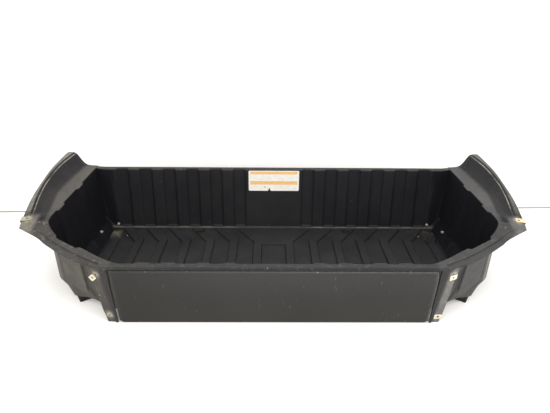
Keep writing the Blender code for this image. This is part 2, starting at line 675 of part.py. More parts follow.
# (x, z) of the leg holes that no clip is centred on: upper right, upper left, lower left
LEG_HOLES = ((0.4395, 0.1530), (-0.4365, 0.1515), (-0.4228, 0.0226))

# The rays must meet the tub before its holes are drilled.
depsgraph = bpy.context.evaluated_depsgraph_get()
depsgraph.update()
undrilled = BVHTree.FromObject(tub, depsgraph)


def skin(x, other, way):
    """Point and normal on the tub, looking down at (x, y) or backwards at (x, z)."""
    if way == "down":
        origin, ray = (x, other, 1.0), (0, 0, -1)
    else:
        origin, ray = (x, -1.0, other), (0, 1, 0)
    hit, normal, _, _ = undrilled.ray_cast(Vector(origin), Vector(ray))
    return hit, normal


clip_frames = {name: frame_on(*skin(*centre, way), along)
               for name, (centre, way, along) in CLIPS.items()}
hole_frames = [frame_on(*fix) for fix in CORNER_FIX.values()]
hole_frames += [clip_frames[name] for name in CLIPS_ON_HOLES]
hole_frames += [frame_on(*skin(x, z, "front")) for x, z in LEG_HOLES]

drillings = [(hole, frame) for frame in hole_frames]
drillings += [(floor_hole, upright(x, y)) for x, y in FLOOR_FIX.values()]
drillings += [(pad_hole, upright(pad[0], pad[1])) for pad in PADS.values()]
drillings += at_screws(boss_hole)
boolean(tub, joined("drillings", drillings), "DIFFERENCE")

# ------------------------------------------------------------ clip nuts
CLIP_W, CLIP_T = 0.0150, 0.0010
CLIP_END = 0.0030        # added to 'back' for the outside of the closed end
CLIP_SETBACK = 0.0030    # the lower leaf is this much shorter
CLIP_BEND = 0.0020       # length of the sloping closed end
CLIP_BARREL_R, CLIP_BORE_R = 0.0048, 0.0030
CLIP_BARREL_L, CLIP_BARREL_SINK = 0.0045, 0.0004


def clip_mesh(back, length, air):
    """Folded spring steel with a pressed barrel; 'back' places the closed end beyond the hole."""
    top_in, top_out = air, air + CLIP_T
    low_in, low_out = -WALL - air, -WALL - air - CLIP_T
    closed = back + CLIP_END
    tip = closed - length
    middle = (top_out + low_out) / 2
    outline = [
        (tip, top_in), (tip, top_out),
        (closed - CLIP_BEND, top_out), (closed, middle + 0.0012),
        (closed, middle - 0.0012), (closed - CLIP_BEND, low_out),
        (tip + CLIP_SETBACK, low_out), (tip + CLIP_SETBACK, low_in),
        (closed - CLIP_BEND - 0.0004, low_in), (closed - CLIP_T, middle - 0.0008),
        (closed - CLIP_T, middle + 0.0008), (closed - CLIP_BEND - 0.0004, top_in),
    ]
    shape = bmesh.new()
    face = shape.faces.new([shape.verts.new((x, -CLIP_W / 2, z)) for x, z in outline])
    extrude(shape, face, (0, CLIP_W, 0))
    leaf = add_object("clip_leaf", to_mesh("clip_leaf", shape), ZINC_MAT, collection=CUTTERS)
    barrel = (CLIP_BARREL_R, low_out - CLIP_BARREL_L, low_out + CLIP_BARREL_SINK, 12)
    boolean(leaf, cylinder_helper("clip_barrel", barrel), "UNION")
    boolean(leaf, cylinder_helper("clip_bore", (CLIP_BORE_R, -0.020, 0.020, 12)), "DIFFERENCE")
    return baked(leaf)


clip = clip_mesh(back=0.0100, length=0.0230, air=0.0010)
# the wing tips' holes sit further from the edge
tip_clip = clip_mesh(back=0.0158, length=0.0262, air=0.0014)
for name, frame in clip_frames.items():
    add_object(name, tip_clip if "_tip_" in name else clip, ZINC_MAT, frame)

# ------------------------------------------------------------ bolts, washers, spacers, nuts
# every tier and bore: radius, low z, high z, segments
WASHER_T = 0.0015
bolt = stack("bolt", [(0.0049, 0.0, 0.0011, 16),         # flange
                      (0.0040, 0.0007, 0.0042, 6),       # hexagon head
                      (0.0028, -0.0150, 0.0004, 10)])    # shank
nut = stack("nut", [(0.0062, -0.0012, 0.0, 16),          # flange
                    (0.0056, -0.0060, -0.0008, 6)],      # hexagon
            bore=(0.0032, -0.010, 0.005, 10))
floor_bolt = stack("floor_bolt", [(0.0085, 0.0, 0.0015, 16),       # flange
                                  (0.0064, 0.0010, 0.0068, 6),     # hexagon head
                                  (0.0038, -0.0240, 0.0006, 12)])  # shank
washer = stack("washer", [(0.0110, 0.0, WASHER_T, 20)], bore=(0.0043, -0.010, 0.010, 14))
spacer = stack("spacer", [(0.0110, 0.0, UNDERSIDE_Z, 20)], bore=(0.0043, -0.010, 0.040, 14))
pad_screw = stack("pad_screw", [(0.0048, 0.0020, 0.0045, 12),      # head
                                (0.0020, 0.0040, 0.0270, 8)])      # shank
apron_screw = stack("apron_screw", [(0.0034, -0.0022, 0.0, 10),    # head
                                    (0.0016, -0.0004, 0.0105, 8)])  # shank

BOLT_AIR, NUT_AIR = 0.0006, 0.0008     # clearance from the moulding
for name, (point, normal) in CORNER_FIX.items():
    add_object("corner_bolt_" + name, bolt, ZINC_MAT,
               frame_on(point + normal * BOLT_AIR, normal))
    add_object("corner_nut_" + name, nut, ZINC_MAT,
               frame_on(point - normal * (WALL + NUT_AIR), normal))

for name, (x, y) in FLOOR_FIX.items():
    seat = RECESS_Z if name.startswith("rear") else FLOOR_Z
    add_object("floor_washer_" + name, washer, BLACK_STEEL, upright(x, y, seat + GAP))
    add_object("floor_bolt_" + name, floor_bolt, BLACK_STEEL,
               upright(x, y, seat + 2 * GAP + WASHER_T))
    add_object("floor_spacer_" + name, spacer, ZINC_MAT, upright(x, y))

# ------------------------------------------------------------ rubber pads under the corners
PAD_BEVEL = 0.0020
# counterbore from below for the screw head, and the bore for its shank
pad_bore = stack("pad_cut", [(0.0060, -0.010, 0.0055, 12), (0.0026, 0.0, 0.050, 10)])


def build_pad(name, x, y, turn, width, depth, top):
    shape = bmesh.new()
    bmesh.ops.create_cube(shape, size=1.0)
    bmesh.ops.scale(shape, vec=(width, depth, top), verts=shape.verts)
    bmesh.ops.translate(shape, vec=(0, 0, top / 2), verts=shape.verts)
    pad = add_object("foot_pad_" + name, to_mesh("foot_pad", shape), RUBBER_MAT)
    pad.location = (x, y, 0)
    pad.rotation_euler = (0, 0, math.radians(turn))
    edges = pad.modifiers.new("edges", "BEVEL")
    edges.width = PAD_BEVEL
    edges.segments = 1
    boolean(pad, joined("pad_bore_" + name, [(pad_bore, upright(x, y))]), "DIFFERENCE")
    add_object("pad_screw_" + name, pad_screw, ZINC_MAT, upright(x, y))


for name, pad_spec in PADS.items():
    build_pad(name, *pad_spec)

# ------------------------------------------------------------ fascia panel (apron)
APRON_T = 0.0035
APRON_TOP_Z = 0.1685
APRON_TOP_Y = -0.2515
APRON_LOW_Y = -0.2385
APRON_DIVISIONS = 6      # across the panel
APRON_HALF_W = ((0.0, 0.3995), (0.125, 0.4010), (APRON_TOP_Z, 0.3985))   # (z, half width)
# face of the panel: (z, outward bow)
APRON_FACE = ((0.0, 0.0), (0.050, 0.0006), (0.110, 0.0006), (APRON_TOP_Z - 0.0060, 0.0))
# rounded top edge and the ledge behind it: (y, z)
APRON_LEDGE = ((APRON_TOP_Y, APRON_TOP_Z - 0.0015), (APRON_TOP_Y + 0.0040, APRON_TOP_Z),
               (APRON_TOP_Y + 0.0150, APRON_TOP_Z))


def build_apron():
    section = [(mix(APRON_LOW_Y, APRON_TOP_Y, z / APRON_TOP_Z) - bow, z)
               for z, bow in APRON_FACE]
    shape = bmesh.new()
    rows = []
    for y, z in (*section, *APRON_LEDGE):
        half = table(z, APRON_HALF_W)
        rows.append([shape.verts.new((half * (2 * k / APRON_DIVISIONS - 1), y, z))
                     for k in range(APRON_DIVISIONS + 1)])
    for low, high in zip(rows, rows[1:]):
        for k in range(APRON_DIVISIONS):
            shape.faces.new((low[k], low[k + 1], high[k + 1], high[k]))
    bmesh.ops.recalc_face_normals(shape, faces=shape.faces)
    if sum(face.normal.y for face in shape.faces) > 0:
        bmesh.ops.reverse_faces(shape, faces=shape.faces)
    apron = add_object("apron_panel", to_mesh("apron_panel", shape), APRON_MAT)
    add_sheet(apron, "sheet", APRON_T)
    boolean(apron, joined("screw_gates", at_screws(screw_gate)), "DIFFERENCE")


build_apron()
for k, x in enumerate(APRON_SCREW_X):
    add_object("apron_screw_%d" % (k + 1), apron_screw, ZINC_MAT,
               upright(x, BOSS_Y, APRON_TOP_Z - APRON_T - GAP))

# ------------------------------------------------------------ plain label on the tall wall
LABEL_W, LABEL_H, LABEL_T = 0.1680, 0.0695, 0.0005
LABEL_R = 0.0040         # corner radius
LABEL_X, LABEL_Z = 0.0005, 0.1957


def build_label():
    outline = []
    for side_x, side_y, start in ((1, 1, 0), (-1, 1, 90), (-1, -1, 180), (1, -1, 270)):
        for step in range(4):
            angle = math.radians(start + 30 * step)
            outline.append((side_x * (LABEL_W / 2 - LABEL_R) + LABEL_R * math.cos(angle),
                            side_y * (LABEL_H / 2 - LABEL_R) + LABEL_R * math.sin(angle)))
    shape = bmesh.new()
    face = shape.faces.new([shape.verts.new((x, y, 0)) for x, y in outline])
    extrude(shape, face, (0, 0, LABEL_T))
    seat = back_wall_point(LABEL_X, LABEL_Z) + BACK_NORMAL * GAP
    add_object("info_label", to_mesh("info_label", shape), LABEL_MAT,
               frame_on(seat, BACK_NORMAL))


build_label()

# ------------------------------------------------------------ origin at the footprint's centre
bench = bpy.data.objects.new("bench_frame", None)
bench.location = FRAME_SHIFT
PARTS.objects.link(bench)
for obj in list(PARTS.objects) + list(CUTTERS.objects):
    if obj is not bench:
        obj.parent = bench
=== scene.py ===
"""Looks of a cargo-bed tub: moulded shell, fascia, fittings, finishes and studio.

Metres throughout. X runs across the tub with right at +X, the tall back wall stands at +Y,
the low front wall and the fascia at -Y, and Z is up from the ground plane. A cut corner
joins each side wall to the front wall. Everything is drawn in the axes of the frame's
drawing and then moved by SHIFT, which comes from the frame's own bounding box.
"""
import json
import math

import bmesh
import bpy
import numpy as np
from mathutils import Matrix, Vector, noise
from mathutils.bvhtree import BVHTree
from mathutils.geometry import delaunay_2d_cdt

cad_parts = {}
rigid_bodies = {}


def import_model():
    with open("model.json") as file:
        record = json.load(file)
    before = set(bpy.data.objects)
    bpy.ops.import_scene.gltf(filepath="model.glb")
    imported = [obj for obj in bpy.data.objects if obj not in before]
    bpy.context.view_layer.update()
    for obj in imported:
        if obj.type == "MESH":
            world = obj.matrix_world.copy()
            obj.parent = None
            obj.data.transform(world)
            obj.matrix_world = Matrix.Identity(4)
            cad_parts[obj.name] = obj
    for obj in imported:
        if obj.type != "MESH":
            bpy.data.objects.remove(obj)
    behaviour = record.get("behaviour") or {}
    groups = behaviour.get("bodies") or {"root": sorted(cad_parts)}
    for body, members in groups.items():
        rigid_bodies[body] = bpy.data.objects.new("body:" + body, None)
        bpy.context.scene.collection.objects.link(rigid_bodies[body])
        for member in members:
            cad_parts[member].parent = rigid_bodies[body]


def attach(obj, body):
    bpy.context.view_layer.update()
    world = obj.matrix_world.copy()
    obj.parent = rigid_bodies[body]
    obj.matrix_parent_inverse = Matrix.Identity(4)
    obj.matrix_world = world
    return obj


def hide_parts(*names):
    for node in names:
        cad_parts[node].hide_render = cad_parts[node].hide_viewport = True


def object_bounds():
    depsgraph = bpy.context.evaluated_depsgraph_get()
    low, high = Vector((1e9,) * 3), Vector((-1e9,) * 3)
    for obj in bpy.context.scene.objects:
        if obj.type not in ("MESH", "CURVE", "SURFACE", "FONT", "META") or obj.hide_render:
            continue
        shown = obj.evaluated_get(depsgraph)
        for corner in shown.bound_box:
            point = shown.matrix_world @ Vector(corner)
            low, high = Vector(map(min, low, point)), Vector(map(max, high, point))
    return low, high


for old in list(bpy.data.objects):
    bpy.data.objects.remove(old, do_unlink=True)
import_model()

CAD_LO, CAD_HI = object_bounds()
DRAWING_MID_Y = 0.0055
SHIFT = Vector((0.0, (CAD_LO.y + CAD_HI.y) / 2 - DRAWING_MID_Y, 0.0))

# ------------------------------------------------------------------ shell dimensions
WALL = 0.0040
FLOOR_Z, RIB_RISE, CHAMFER_Z = 0.0240, 0.0070, 0.0604
RIB_Z = FLOOR_Z + RIB_RISE

# tall back wall, with upright flutes
STRIP_Y = 0.2110          # where the tall wall's sheet takes over from the floor sheet
BACK_FOOT_Y, BACK_LOW_Y, BACK_TOP_Y = 0.2065, 0.2165, 0.2402
BACK_RIM_Z, BACK_LIP_Z = 0.2320, 0.2200
BACK_RIM_Y = (0.2545, 0.2550, 0.2555, 0.2560, 0.2570, 0.2625)
BACK_EDGE_Y = BACK_RIM_Y[-1]
BACK_FLARE_X = 0.5240     # beyond this the top spreads towards the side wall
FLUTE_DEPTH, FLUTE_START, FLUTE_PITCH, FLUTE_COUNT = 0.0090, 0.0950, 0.0387, 12
FLUTE_RAMP, FLUTE_EASE = 0.0030, 0.0024

# side walls; pairs are (rear, front)
SIDE_FLOOR_X, SIDE_CHAMFER_X, SIDE_FRONT_Y = (0.5472, 0.5420), (0.5662, 0.5800), -0.1344
SIDE_TOP_X, SIDE_RIM_Z, SIDE_RIB_DEPTH = 0.5854, 0.2380, 0.0065

# rear corner post
POST_Y = (BACK_FOOT_Y, BACK_FOOT_Y + 0.002, 0.2205, 0.2440)
POST = [(SIDE_FLOOR_X[0], POST_Y[0], FLOOR_Z), (0.5510, POST_Y[1], RIB_Z),
        (SIDE_CHAMFER_X[0], POST_Y[2], CHAMFER_Z), (SIDE_TOP_X, POST_Y[3], BACK_RIM_Z + 0.004)]
POST_RIM_Z, POST_LIP_Z = 0.2375, 0.2250

# low front wall
FRONT_TOP_Y, FRONT_LOW_Y, FRONT_RIM_Z = -0.2318, -0.2198, 0.1790
FRONT_RIBS = ((0.098, 0.121), (0.161, 0.188), (0.245, 0.274), (0.307, 0.337))
FRONT_RIB_DEPTH, FRONT_EDGE_Y, FRONT_LIP_Z = 0.0050, -0.2505, 0.1710
FRONT_RIM_Y = (-0.2380, -0.2395, -0.2410, -0.2425, -0.2445, FRONT_EDGE_Y)

# cut corner, from the side wall (A) to the front wall (B), seen from above
DIAG_A, DIAG_B = Vector((SIDE_TOP_X, -0.1280)), Vector((0.3858, FRONT_TOP_Y))
DIAG_DIR = (DIAG_A - DIAG_B).normalized()
DIAG_OUT = Vector((DIAG_DIR.y, -DIAG_DIR.x))
DIAG_LEN = (DIAG_A - DIAG_B).length
DIAG_BULGE, DIAG_BULGE_SPAN = 0.0080, (0.0300, 0.1040)
LOW_BULGE = 0.0095        # outward step of the foot, next to the side wall
SHOULDER_Z = 0.0500
FLANGE_W, JOGGLE = 0.0420, 0.0035
DIAG_FOOT = [(SIDE_FLOOR_X[1], -0.1371, FLOOR_Z), (0.5490, -0.1335, RIB_Z),
             (SIDE_CHAMFER_X[1], -0.1195, CHAMFER_Z)]
CORNER_SIDE_WALL = [(SIDE_FLOOR_X[1] + 0.0044, -0.1371 - 0.0085, FLOOR_Z),
                    (0.5635, -0.1365, SHOULDER_Z),
                    (SIDE_CHAMFER_X[1] + 0.0042, -0.1195 - 0.0080, CHAMFER_Z + 0.0040),
                    (SIDE_TOP_X, -0.1230, SIDE_RIM_Z - 0.004)]
CORNER_FRONT_WALL = [(0.3800, FRONT_LOW_Y, FLOOR_Z), (0.3800, FRONT_LOW_Y, RIB_Z),
                     (0.3812, FRONT_LOW_Y - 0.002, CHAMFER_Z), (DIAG_B.x, DIAG_B.y, FRONT_RIM_Z)]
# (distance along the cut corner, rim height)
DIAG_RIM_Z = [(0.0, 0.2330), (0.012, 0.2140), (0.025, 0.2045), (0.060, 0.1978),
              (0.120, 0.1890), (0.190, 0.1790), (0.226, 0.1790)]

# wing: the wide rim on top of the side wall, as (y, value)
WING_OUTER_X = [(-0.141, 0.6515), (-0.080, 0.6640), (-0.030, 0.6700),
                (0.050, 0.6750), (0.146, 0.6765), (0.2625, 0.6770)]
WING_TOP_Z = [(-0.141, 0.2235), (-0.078, 0.2390), (-0.013, 0.2545),
              (0.050, 0.2655), (0.145, 0.2805), (0.2625, 0.2860)]
WING_FOOT_X = [(-0.128, 0.5960), (-0.080, 0.5990), (0.000, 0.6160),
               (0.060, 0.6250), (0.157, 0.6230), (0.2625, 0.6160)]
WING_CREST_X = [(-0.128, 0.6330), (-0.080, 0.6400), (0.000, 0.6530),
                (0.060, 0.6590), (0.157, 0.6570), (0.2625, 0.6480)]

# raised ribs of the floor: they run rearwards, then bend outwards
RIB_FIRST, RIB_PITCH, RIB_WIDTH, RIB_TAIL_Y, RIB_LIMIT_X = 0.0370, 0.0777, 0.0290, 0.2098, 0.5425
RIB_BEND_IN_Y, RIB_BEND_OUT_Y, RIB_BEND, PLATEAU_Y = 0.1370, 0.1200, 0.70, 0.1025

# fascia in front of the low wall
APRON_T, APRON_TOP_Z, APRON_TOP_Y, APRON_LOW_Y = 0.0035, 0.1685, -0.2515, -0.2385

# places of the fittings
FLOOR_FIX = {"rear_left": (-0.2450, 0.1830), "rear_right": (0.2450, 0.1830),
             "front_left": (-0.2457, -0.1500), "front_right": (0.2457, -0.1500)}
REAR_SEAT_Z = 0.0262
APRON_SCREW_X, APRON_SCREW_Y = (-0.320, -0.160, 0.0, 0.160, 0.320), -0.2412
# pad: (x, y, turn in degrees, width)
PADS = {"front_right": (0.5288, -0.1342, -34.2, 0.0300),
        "front_left": (-0.5288, -0.1342, 34.2, 0.0300),
        "rear_right": (0.4900, 0.1650, 0.0, 0.0400),
        "rear_left": (-0.4900, 0.1650, 0.0, 0.0400)}
PAD_DEPTH = 0.0360
GAP = 0.0004              # clearance between touching pieces


# ------------------------------------------------------------------ small mathematics
def mix(start, end, share):
    return start + (end - start) * share


def linear(x, points):
    """Straight-line reading of a table of (x, value)."""
    if x <= points[0][0]:
        return points[0][1]
    for (x0, value0), (x1, value1) in zip(points, points[1:]):
        if x <= x1:
            return mix(value0, value1, (x - x0) / (x1 - x0))
    return points[-1][1]


def smooth(x, points):
    """Smooth (Hermite) reading of a table of (x, value)."""
    if x <= points[0][0]:
        return points[0][1]
    if x >= points[-1][0]:
        return points[-1][1]
    xs, values = zip(*points)
    k = max(i for i in range(len(xs)) if xs[i] <= x)

    def grade(i):
        return (values[i + 1] - values[i]) / (xs[i + 1] - xs[i])

    def slope(i):
        if i == 0:
            return grade(0)
        if i == len(xs) - 1:
            return grade(i - 1)
        before, after = grade(i - 1), grade(i)
        return 0.0 if before * after <= 0 else 2 * before * after / (before + after)

    span = xs[k + 1] - xs[k]
    t = (x - xs[k]) / span
    slope0, slope1 = slope(k) * span, slope(k + 1) * span
    return ((2 * t ** 3 - 3 * t ** 2 + 1) * values[k] + (t ** 3 - 2 * t ** 2 + t) * slope0
            + (-2 * t ** 3 + 3 * t ** 2) * values[k + 1] + (t ** 3 - t ** 2) * slope1)


def bezier(start, corner, end, t):
    return start * (1 - t) ** 2 + corner * (2 * t * (1 - t)) + end * t ** 2


# ------------------------------------------------------------------ control columns
# A column is the inner face of the sheet at one station, as points from the floor up and
# out over the rim. The right half is drawn and mirrored later.
def side_section(y, inner_x):
    """Eight (x, z) points of the wing, from the wall outwards."""
    foot, crest, out = (smooth(y, t) for t in (WING_FOOT_X, WING_CREST_X, WING_OUTER_X))
    low, high = SIDE_RIM_Z, smooth(y, WING_TOP_Z)
    drop = linear(y, [(-0.100, 0.0010), (-0.050, 0.0130)])
    return [(inner_x, low), (foot, low + 0.001),
            (mix(foot, crest, 0.40), mix(low, high, 0.24)),
            (mix(foot, crest, 0.76), mix(low, high, 0.68)),
            (crest, mix(low, high, 0.97)), (out - 0.0085, high),
            (out, high - 0.001), (out + 0.0020 - drop * 0.12, high - 0.001 - drop)]


def back_column(x, recess):
    """Tall wall at x; recess is 1 inside a flute and 0 outside."""
    flare = (x - BACK_FLARE_X) / (SIDE_FLOOR_X[0] - BACK_FLARE_X)
    top = x if x < BACK_FLARE_X else mix(x, SIDE_TOP_X, flare)
    deep = FLUTE_DEPTH * recess
    return ([(x, STRIP_Y, RIB_Z), (x, BACK_LOW_Y + deep, RIB_Z),
             (top, BACK_TOP_Y + deep, BACK_RIM_Z)]
            + [(top, y, BACK_RIM_Z + 0.0015) for y in BACK_RIM_Y]
            + [(top, BACK_EDGE_Y, BACK_LIP_Z)])


def side_foot(y):
    """X of the side wall's floor edge, of its low step and of its chamfer's top."""
    share = (BACK_FOOT_Y - y) / (BACK_FOOT_Y - SIDE_FRONT_Y)
    floor_x, chamfer_x = mix(*SIDE_FLOOR_X, share), mix(*SIDE_CHAMFER_X, share)
    return floor_x, mix(floor_x, chamfer_x, 0.20), chamfer_x


def side_column(y, rib):
    floor_x, step_x, chamfer_x = side_foot(y)
    return ([(floor_x, y, FLOOR_Z), (step_x, y, RIB_Z), (chamfer_x - rib, y, CHAMFER_Z)]
            + [(x, y, z) for x, z in side_section(y, SIDE_TOP_X - rib)])


def leaning_column(lean):
    """Side wall between y = 0.165 (lean 0) and the rear corner post (lean 1)."""
    ys = [mix(0.1650, y, lean) for y in POST_Y]
    return [side_column(y, 0)[k] for k, y in enumerate(ys)] + side_column(ys[3], 0)[4:]


def diag_point(along, out):
    return DIAG_A - DIAG_DIR * along + DIAG_OUT * out


def diag_column(along, bulge, joggle, width):
    """Cut corner at a distance along it, with a flange of the given width."""
    share = along / DIAG_LEN
    near = linear(along, [(0.015, 1.0), (0.045, 0.0)])      # 1 next to the side wall
    points = []
    for k, (a, b) in enumerate(zip(DIAG_FOOT, CORNER_FRONT_WALL)):
        out = max(LOW_BULGE * near, bulge * 0.5 * k)
        points.append((mix(a[0], b[0], share) + DIAG_OUT.x * out,
                       mix(a[1], b[1], share) + DIAG_OUT.y * out,
                       a[2] + (0.0040 * near if k == 2 else 0.0)))
    low, step, high = points
    points[1] = (mix(step[0], mix(low[0], high[0], 0.46), near),
                 mix(step[1], mix(low[1], high[1], 0.46), near),
                 mix(step[2], SHOULDER_Z, near))
    rim_z = smooth(along, DIAG_RIM_Z)
    points.append((*diag_point(along, bulge), rim_z))
    lift = linear(along, [(0.0, 0.012), (0.03, 0.008), (0.09, 0.0)])
    for k, part in enumerate((0.32, 0.40, 0.52, 0.62, 0.64, 1.0)):
        down = joggle if k >= 4 else 0.0
        points.append((*diag_point(along, width * part), rim_z + lift * part - down))
    edge = diag_point(along, width)
    points.append((edge.x + DIAG_OUT.x * 0.0005, edge.y + DIAG_OUT.y * 0.0005,
                   points[-1][2] - 0.0060))
    return points


def front_column(x, rib):
    return ([(x, FRONT_LOW_Y, FLOOR_Z), (x, FRONT_LOW_Y, RIB_Z),
             (x, FRONT_LOW_Y - 0.002 + rib * 0.6, CHAMFER_Z), (x, FRONT_TOP_Y + rib, FRONT_RIM_Z)]
            + [(x, y, FRONT_RIM_Z) for y in FRONT_RIM_Y] + [(x, FRONT_EDGE_Y, FRONT_LIP_Z)])


# Each column is stored with its setback, the length that its rounding takes from the
# neighbouring straights. FULL uses the whole straight; the two joints vary by level.
FULL, SIDE_JOINT, FRONT_JOINT = 1.0, -1, -2

# tall wall, from the middle to the corner post
back_cols = [(back_column(0.0, 0), 0)]
back_cols += [(back_column(0.0184 * k, 0), FULL) for k in range(1, 5)]
for k in range(FLUTE_COUNT):
    flute_edge = FLUTE_START + FLUTE_PITCH * k
    back_cols.append((back_column(flute_edge - FLUTE_RAMP, k % 2), FLUTE_EASE))
    back_cols.append((back_column(flute_edge + FLUTE_RAMP, 1 - k % 2), FLUTE_EASE))
back_cols.append((back_column(0.5360, 0), 0.003))

# rounded rear corner: one arc per level, with the post as its control point
back_near, side_near = back_column(0.5440, 0), leaning_column(0.84)
arcs = []
for level, back_pull, side_pull in ((1, 0.55, 0.55), (2, 0.50, 0.50), (3, 0.10, 0.25)):
    post = Vector(POST[level])
    arcs.append((post.lerp(Vector(back_near[level - 1]), back_pull), post,
                 post.lerp(Vector(side_near[level]), side_pull)))


def on_arcs(t):
    return [tuple(bezier(*arc, t)) for arc in arcs]


for t in (0.0, 0.17, 0.33):
    low = on_arcs(t)
    x = low[2][0]
    rim = [(x, y, mix(BACK_RIM_Z + 0.0015, POST_RIM_Z, 0.4 + t)) for y in BACK_RIM_Y]
    lip = (x, BACK_EDGE_Y, mix(BACK_LIP_Z, POST_LIP_Z, 0.4 + t))
    back_cols.append((low + rim + [lip], FULL))
shared = on_arcs(0.5)[:2] + [POST[3]]
back_cols.append((shared + [(SIDE_TOP_X, y, POST_RIM_Z) for y in BACK_RIM_Y]
                  + [(SIDE_TOP_X, BACK_EDGE_Y, POST_LIP_Z)], 0))

# side wall, from the corner post forwards
post_section = side_section(POST_Y[3], SIDE_TOP_X)
side_cols = [([POST[0]] + shared + [(x, POST_Y[3], z) for x, z in post_section[1:]], 0)]
for t in (0.67, 0.83, 1.0):
    step, chamfer, top = on_arcs(t)
    top_y = min(top[1], 0.2430)
    foot = tuple(Vector(POST[0]).lerp(Vector(side_near[0]), (t - 0.5) * 1.2))
    rim = [(x, top_y, z) for x, z in side_section(top_y, SIDE_TOP_X)[1:]]
    top = (SIDE_TOP_X, top_y, mix(0.2365, SIDE_RIM_Z, t - 0.3))
    side_cols.append(([foot, step, chamfer, top] + rim, FULL))
side_cols += [(leaning_column(lean), FULL) for lean in (0.70, 0.50, 0.25)]
# (y, 1 on a rib, setback)
SIDE_STATIONS = [
    (0.1650, 0, FULL), (0.1500, 0, FULL), (0.1350, 0, FULL), (0.1160, 0, 0.0020),
    (0.1110, 1, 0.0020), (0.0925, 1, FULL), (0.0740, 1, 0.0020), (0.0690, 0, 0.0020),
    (0.0520, 0, FULL), (0.0360, 0, FULL), (0.0200, 0, FULL), (0.0040, 0, FULL),
    (-0.0100, 0, FULL), (-0.0220, 0, 0.0020), (-0.0270, 1, 0.0020), (-0.0460, 1, FULL),
    (-0.0650, 1, 0.0020), (-0.0700, 0, 0.0020), (-0.0850, 0, FULL), (-0.1000, 0, FULL)]
side_cols += [(side_column(y, SIDE_RIB_DEPTH * rib), ease) for y, rib, ease in SIDE_STATIONS]

# joint between side wall and cut corner, out to the wing's tip
TIP_COL = len(side_cols)
tip = Vector((0.6515, -0.1410))
side_corner = list(CORNER_SIDE_WALL)
for share, z in ((0.20, 0.2290), (0.34, 0.2270), (0.50, 0.2262), (0.64, 0.2262),
                 (0.70, 0.2250), (1.0, 0.2235)):
    side_corner.append((mix(SIDE_TOP_X, tip.x, share), mix(-0.1230, tip.y, share), z))
side_corner.append((tip.x + 0.0018, tip.y - 0.0004, 0.2230))
side_cols.append((side_corner, SIDE_JOINT))

# cut corner: (distance along, 1 on the bulge, 1 with joggle, flange width, setback)
BULGE_START, BULGE_END = DIAG_BULGE_SPAN
DIAG_STATIONS = [
    (0.0140, 0, 1, FLANGE_W, FULL), (BULGE_START - 0.003, 0, 1, FLANGE_W, 0.002),
    (BULGE_START + 0.003, 1, 1, FLANGE_W, 0.002), (0.0480, 1, 1, FLANGE_W, FULL),
    (0.0650, 1, 1, FLANGE_W, FULL), (0.0830, 1, 1, FLANGE_W, FULL),
    (BULGE_END - 0.003, 1, 1, FLANGE_W, 0.002), (BULGE_END + 0.003, 0, 1, FLANGE_W, 0.002),
    (0.1260, 0, 1, 0.0412, FULL), (0.1450, 0, 1, 0.0400, FULL), (0.1670, 0, 1, 0.0340, 0.0004),
    (0.1940, 0, 1, 0.0310, 0.0014), (0.2000, 0, 0, 0.0300, 0.0014)]
for along, bulge, joggle, width, ease in DIAG_STATIONS:
    side_cols.append((diag_column(along, DIAG_BULGE * bulge, JOGGLE * joggle, width), ease))

# joint between cut corner and front wall, then the front wall to the middle
FRONT_COL = len(side_cols)
LEG_COL = FRONT_COL - 3           # the leg hangs from the last three stations and the joint
front_corner = list(CORNER_FRONT_WALL)
for share in (0.33, 0.41, 0.49, 0.57, 0.66, 1.0):
    front_corner.append((mix(DIAG_B.x, 0.4060, share), mix(DIAG_B.y, FRONT_EDGE_Y, share),
                         FRONT_RIM_Z))
front_corner.append((0.4058, FRONT_EDGE_Y, FRONT_LIP_Z))
side_cols.append((front_corner, FRONT_JOINT))
for near_x, far_x in reversed(FRONT_RIBS):
    for x, rib in ((far_x + 0.005, 0), (far_x, FRONT_RIB_DEPTH),
                   (near_x, FRONT_RIB_DEPTH), (near_x - 0.005, 0)):
        side_cols.append((front_column(x, rib), 0.002))
side_cols += [(front_column(0.0600, 0), FULL), (front_column(0.0300, 0), FULL),
              (front_column(0.0, 0), 0)]

BACK_NET = np.array([column for column, _ in back_cols], float)      # columns x 10 levels
SIDE_NET = np.array([column for column, _ in side_cols], float)      # columns x 11 levels

# rear end of the wing, between the corner post and the rear edge
WING_NET = np.zeros((8, 8, 3))
for j, y in enumerate((POST_Y[3],) + BACK_RIM_Y + (BACK_EDGE_Y,)):
    for i, (x, z) in enumerate(post_section):
        if j == 0:
            WING_NET[j, i] = SIDE_NET[0, 3 + i]
        elif i == 0:
            WING_NET[j, i] = BACK_NET[-1, 2 + j]
        else:
            WING_NET[j, i] = (x, y, z - (0.0130 if j == 7 and i < 7 else 0.0))

# leg beside the fascia: from the flange's end to the fascia's edge
LEG_Z = [0.1600, 0.1540, 0.1400, 0.1250, 0.1100, 0.0987, 0.0800, 0.0643, 0.0520, 0.0408,
         0.0300, 0.0208, 0.0100, 0.0]
LEG_EDGE = [(0.0, 0.4295), (0.0208, 0.4335), (0.0408, 0.4376), (0.0643, 0.4397),
            (0.0987, 0.4440), (0.1250, 0.4456), (0.1540, 0.4510)]       # (z, x)
LEG_FEET = [(0.4295, -0.2345), (0.4115, -0.2350), (0.4085, -0.2385), (0.4040, -0.2385)]
LEG_NET = np.zeros((4, 1 + len(LEG_Z), 3))
for n, (foot_x, foot_y) in enumerate(LEG_FEET):
    head = SIDE_NET[LEG_COL + n, -1]
    LEG_NET[n, 0] = head
    for k, z in enumerate(LEG_Z):
        share = (head[2] - z) / head[2]
        x = mix(head[0], foot_x, share) if n or z > 0.155 else smooth(z, LEG_EDGE)
        LEG_NET[n, k + 1] = (x, mix(head[1], foot_y, share), z)

# ------------------------------------------------------------------ outer face of the nets
cage_ids, cage_points, cage_faces = {}, [], []


